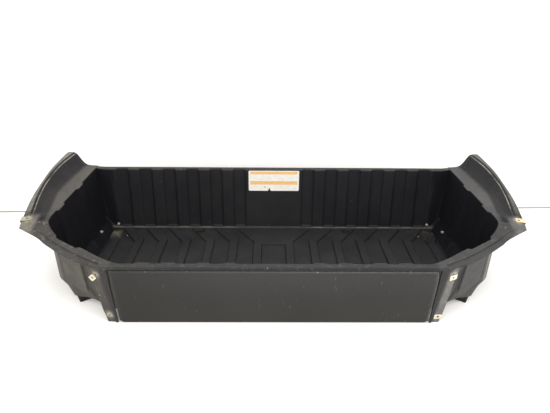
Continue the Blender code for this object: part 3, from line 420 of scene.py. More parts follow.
def cage_id(point):
    key = tuple(round(float(v), 6) for v in point)
    if key not in cage_ids:
        cage_ids[key] = len(cage_points)
        cage_points.append(tuple(float(v) for v in point))
    return cage_ids[key]


def cage_patch(net):
    ids = [[cage_id(p) for p in column] for column in net]
    for a, b in zip(ids, ids[1:]):
        for k in range(len(a) - 1):
            face = list(dict.fromkeys((a[k], b[k], b[k + 1], a[k + 1])))
            if len(face) > 2:
                cage_faces.append(face)


def depsgraph():
    graph = bpy.context.evaluated_depsgraph_get()
    graph.update()
    return graph


def thicken_cage():
    """Cage points moved to the sheet's outer face, with long corner moves held back."""
    longest = 0.0085
    mesh = bpy.data.meshes.new("cage")
    mesh.from_pydata(cage_points, [], cage_faces)
    shape = bmesh.new()
    shape.from_mesh(mesh)
    bmesh.ops.recalc_face_normals(shape, faces=shape.faces)
    shape.faces.ensure_lookup_table()
    if shape.faces[-1].normal.z < 0:
        bmesh.ops.reverse_faces(shape, faces=shape.faces)
    shape.to_mesh(mesh)
    shape.free()
    cage = bpy.data.objects.new("cage", mesh)
    bpy.context.scene.collection.objects.link(cage)
    solid = cage.modifiers.new("s", "SOLIDIFY")
    solid.thickness = WALL
    solid.offset = -1.0
    solid.use_even_offset = True
    solid.use_rim = False
    thick = bpy.data.meshes.new_from_object(cage.evaluated_get(depsgraph()))
    count = len(cage_points)
    places = np.zeros(len(thick.vertices) * 3)
    thick.vertices.foreach_get("co", places)
    places = places.reshape(-1, 3)
    moved = places[count:2 * count]
    for i in range(count):
        move = moved[i] - places[i]
        size = np.linalg.norm(move)
        if size > longest:
            moved[i] = places[i] + move * (longest / size)
        if abs(cage_points[i][0]) < 1e-9:
            moved[i][0] = 0.0
    bpy.data.objects.remove(cage, do_unlink=True)
    return moved


for net in (BACK_NET, SIDE_NET, WING_NET[::-1], LEG_NET):
    cage_patch(net)
cage_faces.append([cage_id(c[0]) for c in BACK_NET] + [cage_id(c[0]) for c in SIDE_NET])
OUTER_CAGE = thicken_cage()


def outer_net(net):
    return np.array([[OUTER_CAGE[cage_id(p)] for p in column] for column in net])


# ------------------------------------------------------------------ fine surface from a net
def expand(lines, setbacks, arcs, steps):
    """Side-by-side polylines (n, m, 3) with eased corners.

    setbacks is (n, m); arcs has the arc steps of each vertex, steps the points of each straight.
    """
    straights = lines[1:] - lines[:-1]
    lengths = np.maximum(np.linalg.norm(straights, axis=2), 1e-9)
    out = [lines[0]]
    last = lines[0]
    for i in range(1, len(lines) - 1):
        before = np.minimum(setbacks[i], 0.49 * lengths[i - 1])[:, None]
        after = np.minimum(setbacks[i], 0.49 * lengths[i])[:, None]
        start = lines[i] - straights[i - 1] * (before / lengths[i - 1][:, None])
        end = lines[i] + straights[i] * (after / lengths[i][:, None])
        if arcs[i] == 0:
            start = end = lines[i]
        for k in range(1, steps[i - 1] + 1):
            out.append(last + (start - last) * (k / (steps[i - 1] + 1)))
        for k in range(arcs[i] + 1):
            out.append(bezier(start, lines[i], end, k / arcs[i] if arcs[i] else 0.0))
        last = end
    for k in range(1, steps[-1] + 1):
        out.append(last + (lines[-1] - last) * (k / (steps[-1] + 1)))
    out.append(lines[-1])
    return np.array(out)


def eased(lines, others, setbacks):
    """Setbacks for the offset polylines, so that both fillets share a centre."""
    out = np.array(setbacks, float).copy()
    for i in range(1, len(lines) - 1):
        back, ahead = lines[i - 1] - lines[i], lines[i + 1] - lines[i]
        back = back / np.maximum(np.linalg.norm(back, axis=1), 1e-9)[:, None]
        ahead = ahead / np.maximum(np.linalg.norm(ahead, axis=1), 1e-9)[:, None]
        bend = np.arccos(np.clip(-(back * ahead).sum(1), -0.999, 0.9999999))
        side = np.sign(((others[i] - lines[i]) * (back + ahead)).sum(1))
        wanted = np.maximum(setbacks[i] - side * WALL * np.tan(bend / 2), 0.0004)
        out[i] = np.where(setbacks[i] == 0.0, 0.0, wanted)
    return out


def index_of(i, arcs, steps):
    """Index in the expanded line of control vertex i (middle of its arc)."""
    index = sum(steps[:i]) + i + sum(arcs[1:i])
    return index + (arcs[i] // 2 if 0 < i < len(arcs) - 1 else 0)


def fine(net, level_setbacks, level_arcs, level_steps, column_setbacks, column_arcs, column_steps):
    """Inner and outer fine grids of a net; column_setbacks is asked for a count of levels."""
    inner, outer = net.transpose(1, 0, 2), outer_net(net).transpose(1, 0, 2)
    outer_setbacks = eased(inner, outer, level_setbacks)
    inner = expand(inner, level_setbacks, level_arcs, level_steps).transpose(1, 0, 2)
    outer = expand(outer, outer_setbacks, level_arcs, level_steps).transpose(1, 0, 2)
    setbacks = column_setbacks(inner.shape[1])
    return (expand(inner, setbacks, column_arcs, column_steps),
            expand(outer, eased(inner, outer, setbacks), column_arcs, column_steps))


# side levels: floor edge, step, chamfer, rim edge, then seven rim points
SIDE_ARCS = [0, 0, 4, 4, 4, 3, 3, 3, 3, 3, 0]
SIDE_STEPS = [3, 1, 7, 2, 1, 1, 1, 1, 1, 2]
SIDE_SETBACKS = [0, 0, 0.0050, 0.0030, FULL, FULL, FULL, FULL, 0.0025, 0.0022, 0]
# back levels: strip, foot, rim edge, then the rim points
BACK_ARCS, BACK_STEPS = SIDE_ARCS[1:], SIDE_STEPS[1:]
BACK_SETBACKS = [0, 0.0055, 0.0035, 0.001, 0.001, 0.001, 0.001, 0.001, 0.0020, 0]


def repeated(setbacks, count):
    return np.tile(np.array(setbacks, float)[:, None], (1, count))


def back_level_setbacks():
    rows = repeated(BACK_SETBACKS, len(BACK_NET))
    for k in range(4):                                  # the rim edge sharpens at the post
        rows[2, -1 - k] = 0.0010 * k
    return rows


def side_level_setbacks():
    rows = repeated(SIDE_SETBACKS, len(SIDE_NET))
    for k in range(4):
        rows[3, k] = 0.0010 * k
    # flange from the wing's tip on
    rows[4:7, TIP_COL:] = 0.0016
    rows[7, TIP_COL:] = 0.0004
    rows[8, TIP_COL:] = 0.0010
    # cut corner only
    rows[9, TIP_COL + 1:FRONT_COL] = 0.0018
    rows[3, TIP_COL + 1:FRONT_COL] = 0.0026
    # front wall
    rows[4:9, FRONT_COL:] = 0.0006
    rows[9, FRONT_COL:] = 0.0026
    # the tip itself
    rows[4:7, TIP_COL] = 0.004
    rows[9, TIP_COL] = 0.0004
    return rows


def column_plan(cols, net):
    """Setbacks (as a function of the count of levels), arc steps and straight steps."""
    def setbacks(count):
        rows = np.zeros((len(cols), count))
        up = np.linspace(0, 1, count)
        for i, (_, ease) in enumerate(cols):
            if ease == SIDE_JOINT:
                rows[i] = np.interp(up, [0.0, 0.36, 0.52, 0.75, 1.0],
                                    [0.0110, 0.0105, 0.0050, 0.0030, 0.0022])
            elif ease == FRONT_JOINT:
                fading = np.maximum(0.0120 * (1 - (up - 0.62) / 0.30), 0.0006)
                rows[i] = np.where(up < 0.62, 0.0120, fading)
            else:
                rows[i] = ease
        return rows

    arc_steps = [0 if s == 0 else (2 if s == FULL else (6 if s < 0 else 3)) for _, s in cols]
    spans = [np.linalg.norm(b[1] - a[1]) for a, b in zip(net, net[1:])]
    return setbacks, arc_steps, [1 if d < 0.012 else (2 if d < 0.03 else 3) for d in spans]


back_in, back_out = fine(BACK_NET, back_level_setbacks(), BACK_ARCS, BACK_STEPS,
                         *column_plan(back_cols, BACK_NET))
side_plan = column_plan(side_cols, SIDE_NET)
side_in, side_out = fine(SIDE_NET, side_level_setbacks(), SIDE_ARCS, SIDE_STEPS, *side_plan)

# wing end; its two shared borders are the patches' own borders
wing_in, wing_out = fine(WING_NET, repeated(SIDE_SETBACKS[3:], 8), [0] + SIDE_ARCS[4:],
                         SIDE_STEPS[3:], lambda count: repeated(BACK_SETBACKS[2:], count),
                         [0] + BACK_ARCS[3:], BACK_STEPS[2:])
side_from = side_in.shape[1] - wing_in.shape[1]
back_from = back_in.shape[1] - wing_in.shape[0]
for wing, side, back in ((wing_in, side_in, back_in), (wing_out, side_out, back_out)):
    wing[0] = side[0, side_from:]
    wing[:, 0] = back[-1, back_from:]


def leg_grid(net, heads):
    """Leg lines, resampled to as many as the rim above has, with their heads on the rim."""
    _, arc_steps, steps = side_plan
    setbacks = np.zeros((4, net.shape[1]))
    setbacks[1:3] = 0.0014
    rows = expand(net, setbacks, [0, arc_steps[LEG_COL + 1], arc_steps[LEG_COL + 2], 0],
                  steps[LEG_COL:LEG_COL + 3])
    place = np.linspace(0, len(rows) - 1, len(heads))
    k = np.minimum(place.astype(int), len(rows) - 2)
    share = (place - k)[:, None, None]
    out = rows[k] * (1 - share) + rows[k + 1] * share
    out[:, 0] = heads
    return out


leg_first, leg_last = (index_of(c, *side_plan[1:]) for c in (LEG_COL, FRONT_COL))
leg_in = leg_grid(LEG_NET, side_in[leg_first:leg_last + 1, -1])
leg_out = leg_grid(outer_net(LEG_NET), side_out[leg_first:leg_last + 1, -1])

# ------------------------------------------------------------------ patches of the right half
inner_points, outer_points, patch_faces = [], [], []
ON_WALL, ON_RIM, ON_LEG, ON_FLOOR = 0, 1, 2, 3
zone_tags = []


def add_patch(inner, outer, tag, rim_from=None):
    """Adds both faces of a grid; levels beyond rim_from are tagged as rim."""
    columns, levels = inner.shape[:2]
    base = len(inner_points)
    for a in range(columns):
        for b in range(levels):
            inner_points.append(tuple(inner[a, b]))
            outer_points.append(tuple(outer[a, b]))
            zone_tags.append(ON_RIM if rim_from is not None and b > rim_from else tag)
    for a in range(columns - 1):
        for b in range(levels - 1):
            corner = base + a * levels + b
            patch_faces.append((corner, corner + levels, corner + levels + 1, corner + 1))
    return base


back_base = add_patch(back_in, back_out, ON_WALL, index_of(2, BACK_ARCS, BACK_STEPS))
side_base = add_patch(side_in, side_out, ON_WALL, index_of(3, SIDE_ARCS, SIDE_STEPS))
add_patch(wing_in[::-1], wing_out[::-1], ON_RIM)
add_patch(leg_in, leg_out, ON_LEG)

# ring of the floor sheet: tall wall's strip, down the corner post, then the other feet
step_level = index_of(1, SIDE_ARCS, SIDE_STEPS)
ring_half = [back_base + a * back_in.shape[1] for a in range(back_in.shape[0])]
ring_half += [side_base + b for b in range(step_level - 1, -1, -1)]
ring_half += [side_base + a * side_in.shape[1] for a in range(1, side_in.shape[0])]


def ring_of(points):
    right = [points[i] for i in ring_half]
    return right + [(-x, y, z) for x, y, z in right[-2:0:-1]]


# ------------------------------------------------------------------ plane outlines
def inset(outline, distance):
    """Inward offset of a counter-clockwise outline."""
    out = []
    for i, point in enumerate(outline):
        before, here, after = (Vector(p) for p in (outline[i - 1], point,
                                                   outline[(i + 1) % len(outline)]))
        a, b = (here - before).normalized(), (after - here).normalized()
        normal_a, normal_b = Vector((-a.y, a.x)), Vector((-b.y, b.x))
        miter = normal_a + normal_b
        miter = miter / max(miter.dot(normal_a), 0.2)
        out.append(tuple(here + miter * distance))
    return out


def counter_clockwise(outline):
    area = sum(outline[i - 1][0] * outline[i][1] - outline[i][0] * outline[i - 1][1]
               for i in range(len(outline)))
    return outline if area > 0 else outline[::-1]


def soften(outline, radius):
    """Corners of an outline cut back with small arcs."""
    out = []
    for i, point in enumerate(outline):
        here = Vector(point)
        back = Vector(outline[i - 1]) - here
        ahead = Vector(outline[(i + 1) % len(outline)]) - here
        cut_back = min(radius * math.tan(back.angle(-ahead) / 2), 0.45 * back.length,
                       0.45 * ahead.length)
        start = here + back.normalized() * cut_back
        end = here + ahead.normalized() * cut_back
        out += [tuple(bezier(start, here, end, k / 4)) for k in range(5)]
    return out


def in_outline(x, y, outline):
    inside = False
    for (xi, yi), (xj, yj) in zip(outline, outline[-1:] + outline[:-1]):
        if (yi > y) != (yj > y) and x < (xj - xi) * (y - yi) / (yj - yi) + xi:
            inside = not inside
    return inside


def edge_distance(x, y, outline):
    point = np.array((x, y))
    edges = np.roll(outline, -1, axis=0) - outline
    length2 = np.maximum((edges * edges).sum(1), 1e-12)
    share = np.clip(((point - outline) * edges).sum(1) / length2, 0, 1)
    nearest = outline + edges * share[:, None]
    return float(np.min(np.linalg.norm(nearest - point, axis=1)))


def mirrored(outline):
    return [(-x, y) for x, y in outline]


# ------------------------------------------------------------------ floor sheet
def floor_front_y(x):
    x0, y0 = CORNER_FRONT_WALL[0][:2]
    x1, y1 = DIAG_FOOT[0][:2]
    return y0 if x < x0 else mix(y0, y1, (x - x0) / (x1 - x0))


def rib_outline(k):
    """Rib number k of the right half; its bent tail is clipped at RIB_LIMIT_X."""
    inner = RIB_FIRST + RIB_PITCH * k
    outer = inner + RIB_WIDTH
    points = [(inner, floor_front_y(inner) + 0.012), (outer, floor_front_y(outer) + 0.012),
              (outer, RIB_BEND_OUT_Y)]
    tail_outer = outer + RIB_BEND * (RIB_TAIL_Y - RIB_BEND_OUT_Y)
    if tail_outer <= RIB_LIMIT_X:
        points += [(tail_outer, RIB_TAIL_Y),
                   (inner + RIB_BEND * (RIB_TAIL_Y - RIB_BEND_IN_Y), RIB_TAIL_Y)]
    else:
        points += [(RIB_LIMIT_X, RIB_BEND_OUT_Y + (RIB_LIMIT_X - outer) / RIB_BEND),
                   (RIB_LIMIT_X, RIB_BEND_IN_Y + (RIB_LIMIT_X - inner) / RIB_BEND)]
    return points + [(inner, RIB_BEND_IN_Y)]


# the two innermost ribs join behind into one plateau
first = rib_outline(0)
plateau = (mirrored([first[1], first[0], (first[0][0], PLATEAU_Y)])
           + [(first[0][0], PLATEAU_Y)] + first[:4] + mirrored([first[3], first[2]]))
RIBS = [counter_clockwise(plateau)]
for k in range(1, 7):
    RIBS.append(counter_clockwise(rib_outline(k)))
    RIBS.append(counter_clockwise(mirrored(rib_outline(k))))
RIBS = [soften(outline, 0.004) for outline in RIBS]

# slope of a rib's side: (distance in from the outline, height)
RIB_RAMP = [(0.0, 0.0), (0.0006, 0.0005), (0.0013, 0.0022), (0.0020, 0.0048),
            (0.0027, 0.0064), (0.0038, RIB_RISE)]


def floor_sheet(ring, post, base_z, rise, rib_inset, seats, seat_radii, seat_z):
    """Height-field sheet inside the ring, with raised ribs and round seats.

    post has the points of the step in front of the tall wall, from the top down.
    """
    plan = [Vector((x, y)) for x, y, _ in ring]
    count = len(ring)
    edges = [(i, (i + 1) % count) for i in range(count)]

    def add_loop(loop):
        start, size = len(plan), len(loop)
        plan.extend(Vector(p) for p in loop)
        edges.extend((start + i, start + (i + 1) % size) for i in range(size))

    outlines = [inset(outline, rib_inset) for outline in RIBS]
    for outline in outlines:
        for distance, _ in RIB_RAMP:
            add_loop(inset(outline, distance))
    ring_index = {(round(x, 6), round(y, 6)): i for i, (x, y, _) in enumerate(ring)}
    for x, y, _ in post:
        edges.append((ring_index[(round(x, 6), round(y, 6))],
                      ring_index[(round(-x, 6), round(y, 6))]))
    turns = [2 * math.pi * k / 40 for k in range(40)]
    for seat_x, seat_y in seats:
        for r in seat_radii:
            add_loop([(seat_x + r * math.cos(a), seat_y + r * math.sin(a)) for a in turns])
    verts, _, faces, origins, _, _ = delaunay_2d_cdt(plan, edges, [], 0, 1e-7)

    arrays = [np.array(outline) for outline in outlines]
    boxes = [(array.min(0), array.max(0)) for array in arrays]
    steps = sorted((y, z) for _, y, z in post)

    def height(x, y):
        lifted = 0.0
        for outline, array, (lo, hi) in zip(outlines, arrays, boxes):
            if lo[0] - 1e-6 <= x <= hi[0] + 1e-6 and lo[1] - 1e-6 <= y <= hi[1] + 1e-6:
                distance = edge_distance(x, y, array)
                if distance < 1e-6 or not in_outline(x, y, outline):
                    continue
                lifted = max(lifted, linear(distance, RIB_RAMP) / RIB_RISE)
        z = base_z + rise * lifted
        if y > post[-1][1]:
            z = max(z, linear(y, steps))
        for seat_x, seat_y in seats:
            r = math.hypot(x - seat_x, y - seat_y)
            if r < seat_radii[-1]:
                w = min(1.0, (seat_radii[-1] - r) / (seat_radii[-1] - seat_radii[0]))
                z = mix(z, seat_z, w * w * (3 - 2 * w))
        return z

    points = []
    for vert, origin in zip(verts, origins):
        on_ring = [i for i in origin if i < count]
        points.append(ring[on_ring[0]] if on_ring else (vert.x, vert.y, height(vert.x, vert.y)))
    flat = np.array([(v.x, v.y) for v in verts])
    mid_x, mid_y = flat[np.array([tuple(f) for f in faces])].mean(1).T
    inside = np.zeros(len(mid_x), bool)
    for (xi, yi, _), (xj, yj, _) in zip(ring, ring[-1:] + ring[:-1]):
        if yi != yj:
            crossing = (xj - xi) * (mid_y - yi) / (yj - yi) + xi
            inside ^= ((yi > mid_y) != (yj > mid_y)) & (mid_x < crossing)
    return points, [tuple(f) for f, kept in zip(faces, inside) if kept]


post_ids = [side_base + b for b in range(step_level, -1, -1)]
fix_places = list(FLOOR_FIX.values())
floor_inner = floor_sheet(
    ring_of(inner_points), [inner_points[i] for i in post_ids], base_z=FLOOR_Z, rise=RIB_RISE,
    rib_inset=0.0, seats=fix_places[:2], seat_radii=[0.0126, 0.0130, 0.0134, 0.0140],
    seat_z=REAR_SEAT_Z)
floor_outer = floor_sheet(
    ring_of(outer_points), [outer_points[i] for i in post_ids], base_z=FLOOR_Z - WALL,
    rise=0.0066, rib_inset=0.0026, seats=fix_places, seat_radii=[0.0150, 0.0160, 0.0170, 0.0180],
    seat_z=0.0200)


# ------------------------------------------------------------------ one closed shell
def free_edges():
    """Patch edges at the sheet's open border, where the two faces are joined."""
    uses = {}
    for face in patch_faces:
        for pair in zip(face, face[1:] + face[:1]):
            uses[frozenset(pair)] = uses.get(frozenset(pair), 0) + 1
    by_place = {}
    for edge, used in uses.items():
        if used == 1:
            a, b = edge
            key = tuple(sorted(tuple(round(v, 6) for v in inner_points[i]) for i in (a, b)))
            by_place.setdefault(key, []).append((a, b))
    ring = set(ring_half) | {side_base + step_level}
    free = []
    for pairs in by_place.values():
        a, b = pairs[0]
        p, q = inner_points[a], inner_points[b]
        patches_meet = len(pairs) > 1
        floor_meets = a in ring and b in ring
        on_mirror_plane = abs(p[0]) < 1e-9 and abs(q[0]) < 1e-9
        if not (patches_meet or floor_meets or on_mirror_plane
                or (Vector(p) - Vector(q)).length < 1e-7):
            free.append((a, b))
    return free


def build_shell():
    shell = bmesh.new()
    zone = shell.verts.layers.float.new("zone")
    outside = shell.verts.layers.float.new("outside")

    def add_vert(point, tag, side):
        vert = shell.verts.new(point)
        vert[zone] = tag
        vert[outside] = side
        return vert

    def add_face(verts):
        try:
            shell.faces.new(verts)
        except ValueError:      # guards against a face that already exists
            pass

    free = free_edges()
    for mirror in (1, -1):
        inner, outer = ([add_vert((mirror * p[0], p[1], p[2]), zone_tags[i], side)
                         for i, p in enumerate(points)]
                        for points, side in ((inner_points, 0.0), (outer_points, 1.0)))
        for face in patch_faces:
            add_face([inner[i] for i in face])
            add_face([outer[i] for i in reversed(face)])
        for a, b in free:
            add_face([inner[a], inner[b], outer[b], outer[a]])
    for (points, faces), side in ((floor_inner, 0.0), (floor_outer, 1.0)):
        verts = [add_vert(p, ON_FLOOR, side) for p in points]
        for face in faces:
            add_face([verts[i] for i in face])
    bmesh.ops.remove_doubles(shell, verts=shell.verts, dist=1.5e-5)
    bmesh.ops.dissolve_degenerate(shell, edges=shell.edges, dist=1e-5)
    loose = [e for e in shell.edges if not e.link_faces]
    bmesh.ops.delete(shell, geom=loose, context="EDGES")
    loose = [v for v in shell.verts if not v.link_faces]
    bmesh.ops.delete(shell, geom=loose, context="VERTS")
    gaps = [e for e in shell.edges if len(e.link_faces) == 1]
    if gaps:
        bmesh.ops.holes_fill(shell, edges=gaps, sides=8)
    bmesh.ops.recalc_face_normals(shell, faces=shell.faces)
    return shell


# ------------------------------------------------------------------ helpers for objects
LOOKS = bpy.data.collections.new("looks")
bpy.context.scene.collection.children.link(LOOKS)


def shade(mesh, angle):
    mesh.shade_smooth()
    mesh.set_sharp_from_angle(angle=math.radians(angle))


def add_object(name, shape, material):
    mesh = bpy.data.meshes.new(name)
    shape.to_mesh(mesh)
    shape.free()
    obj = bpy.data.objects.new(name, mesh)
    LOOKS.objects.link(obj)
    if material:
        mesh.materials.append(material)
    mesh.shade_smooth()
    return obj


def fit(obj, name):
    """Ties a finished object to the CAD piece that it stands for."""
    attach(obj, "root")
    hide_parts(name)


def frame_on(point, normal, along=(1, 0, 0)):
    """Placement with local z on the normal and local x as near to `along` as it can be."""
    z = Vector(normal).normalized()
    x = Vector(along)
    x = (x - z * x.dot(z)).normalized()
    axes = Matrix((x, z.cross(x), z)).transposed().to_4x4()
    return Matrix.Translation(Vector(point)) @ axes


def tube(shape, radius, low, high, matrix):
    middle = Matrix.Translation((0, 0, (low + high) / 2))
    bmesh.ops.create_cone(shape, cap_ends=True, cap_tris=False, segments=28, radius1=radius,
                          radius2=radius, depth=high - low, matrix=matrix @ middle)


def cut(obj, build, name, operation="DIFFERENCE"):
    """Applies a boolean with the shape that build() draws."""
    shape = bmesh.new()
    build(shape)
    cutter = add_object(name, shape, None)
    boolean = obj.modifiers.new("cut", "BOOLEAN")
    boolean.operation = operation
    boolean.solver = "EXACT"
    boolean.object = cutter
    mesh = bpy.data.meshes.new_from_object(obj.evaluated_get(depsgraph()))
    obj.modifiers.clear()
    obj.data = mesh
    bpy.data.objects.remove(cutter, do_unlink=True)


# ------------------------------------------------------------------ shader helpers
def operation(name, swapped=False):
    """A Value method that adds a math node, with swapped inputs on request."""
    def method(self, other=0.0):
        first, second = (other, self) if swapped else (self, other)
        return self.graph.math(name, first, second)
    return method


class Value:
    """A shader socket for use in formulas; each operation adds a node."""

    def __init__(self, graph, socket):
        self.graph = graph
        self.socket = socket

    __add__ = operation("ADD")
    __radd__ = operation("ADD", swapped=True)
    __sub__ = operation("SUBTRACT")
    __rsub__ = operation("SUBTRACT", swapped=True)
    __mul__ = operation("MULTIPLY")
    __truediv__ = operation("DIVIDE")
    __abs__ = operation("ABSOLUTE")

    def ramp(self, *stops):
        """Grey colour ramp from (position, value) stops."""
        node = self.graph.node("ShaderNodeValToRGB")
        elements = node.color_ramp.elements
        while len(elements) > 1:
            elements.remove(elements[-1])
        elements[0].position = stops[0][0]
        for k, (position, grey) in enumerate(stops):
            element = elements.new(position) if k else elements[0]
            element.color = (grey, grey, grey, 1)
        self.graph.put(node.inputs[0], self)
        return Value(self.graph, node.outputs["Color"])

    def rise(self, low, high):
        """0 below low, 1 above high."""
        return self.ramp((low, 0.0), (high, 1.0))


def clamp(value):
    """Limits the math node behind a value to 0..1."""
    value.socket.node.use_clamp = True
    return value


def peak(value, at, reach):
    """1 at a place, falling to 0 at the given reach on either side."""
    return clamp(1.0 - abs(value - at) / reach)


class Graph:
    """A material with one Principled shader, and the nodes that feed it."""

    def __init__(self, name):
        self.material = bpy.data.materials.new(name)
        self.material.use_nodes = True
        self.tree = self.material.node_tree
        self.tree.nodes.clear()
        self.output = self.node("ShaderNodeOutputMaterial")
        self.shader = self.node("ShaderNodeBsdfPrincipled")
        self.tree.links.new(self.shader.outputs[0], self.output.inputs[0])
        self.coord = Value(self, self.node("ShaderNodeTexCoord").outputs["Object"])

    def node(self, kind):
        return self.tree.nodes.new(kind)

    def put(self, socket, value):
        if isinstance(value, Value):
            self.tree.links.new(value.socket, socket)
        elif socket.type == "RGBA":
            socket.default_value = (*value, 1.0)
        else:
            socket.default_value = value

    def mapped(self, stretch, seed):
        node = self.node("ShaderNodeMapping")
        node.inputs["Scale"].default_value = stretch
        node.inputs["Location"].default_value = (seed, seed * 0.7, seed * 1.3)
        self.put(node.inputs["Vector"], self.coord)
        return Value(self, node.outputs[0])

    def noise(self, scale, detail=4, rough=0.6, stretch=None, seed=0.0):
        plain = not (stretch or seed)
        place = self.coord if plain else self.mapped(stretch or (1, 1, 1), seed)
        node = self.node("ShaderNodeTexNoise")
        node.inputs["Scale"].default_value = scale
        node.inputs["Detail"].default_value = detail
        node.inputs["Roughness"].default_value = rough
        self.put(node.inputs["Vector"], place)
        return Value(self, node.outputs["Fac"])

    def cells(self, scale, seed, stretch=(1, 1, 1)):
        """Voronoi distance to the nearest cell point."""
        place = self.mapped(stretch, seed)
        node = self.node("ShaderNodeTexVoronoi")
        node.inputs["Scale"].default_value = scale
        self.put(node.inputs["Vector"], place)
        return Value(self, node.outputs["Distance"])

    def math(self, kind, first, second=0.0):
        node = self.node("ShaderNodeMath")
        node.operation = kind
        self.put(node.inputs[0], first)
        self.put(node.inputs[1], second)
        return Value(self, node.outputs[0])

    def vector_math(self, kind, first, second=None, scale=None):
        node = self.node("ShaderNodeVectorMath")
        node.operation = kind
        self.put(node.inputs[0], first)
        if second is not None:
            self.put(node.inputs[1], second)
        if scale is not None:
            self.put(node.inputs["Scale"], scale)
        scalar = kind in ("DOT_PRODUCT", "LENGTH")
        return Value(self, node.outputs["Value" if scalar else "Vector"])

    def mix(self, share, first, second):
        """Colour blend, from first at share 0 to second at share 1."""
        node = self.node("ShaderNodeMix")
        node.data_type = "RGBA"
        self.put(node.inputs["Factor"], share)
        ends = [s for s in node.inputs if s.type == "RGBA"]
        self.put(ends[0], first)
        self.put(ends[1], second)
        return Value(self, [s for s in node.outputs if s.type == "RGBA"][0])

    def attribute(self, name):
        node = self.node("ShaderNodeAttribute")
        node.attribute_name = name
        return Value(self, node.outputs["Fac"])

    def xyz(self):
        node = self.node("ShaderNodeSeparateXYZ")
        self.put(node.inputs[0], self.coord)
        return [Value(self, socket) for socket in node.outputs]

    def vector(self, x, y, z):
        node = self.node("ShaderNodeCombineXYZ")
        for socket, value in zip(node.inputs, (x, y, z)):
            self.put(socket, value)
        return Value(self, node.outputs[0])

    def bump(self, height, strength, distance, normal=None):
        node = self.node("ShaderNodeBump")
        node.inputs["Strength"].default_value = strength
        node.inputs["Distance"].default_value = distance
        self.put(node.inputs["Height"], height)
        if normal is not None:
            self.put(node.inputs["Normal"], normal)
        return Value(self, node.outputs[0])

    def finish(self, **settings):
        names = {"color": "Base Color", "rough": "Roughness", "metal": "Metallic",
                 "normal": "Normal", "spec": "Specular IOR Level"}
        for key, value in settings.items():
            self.put(self.shader.inputs[names[key]], value)
        return self.material


def srgb(*channels):
    """Linear colour from 8-bit sRGB channels."""
    return tuple(((c / 255) / 12.92 if c / 255 <= 0.04045 else ((c / 255 + 0.055) / 1.055) ** 2.4)
                 for c in channels)


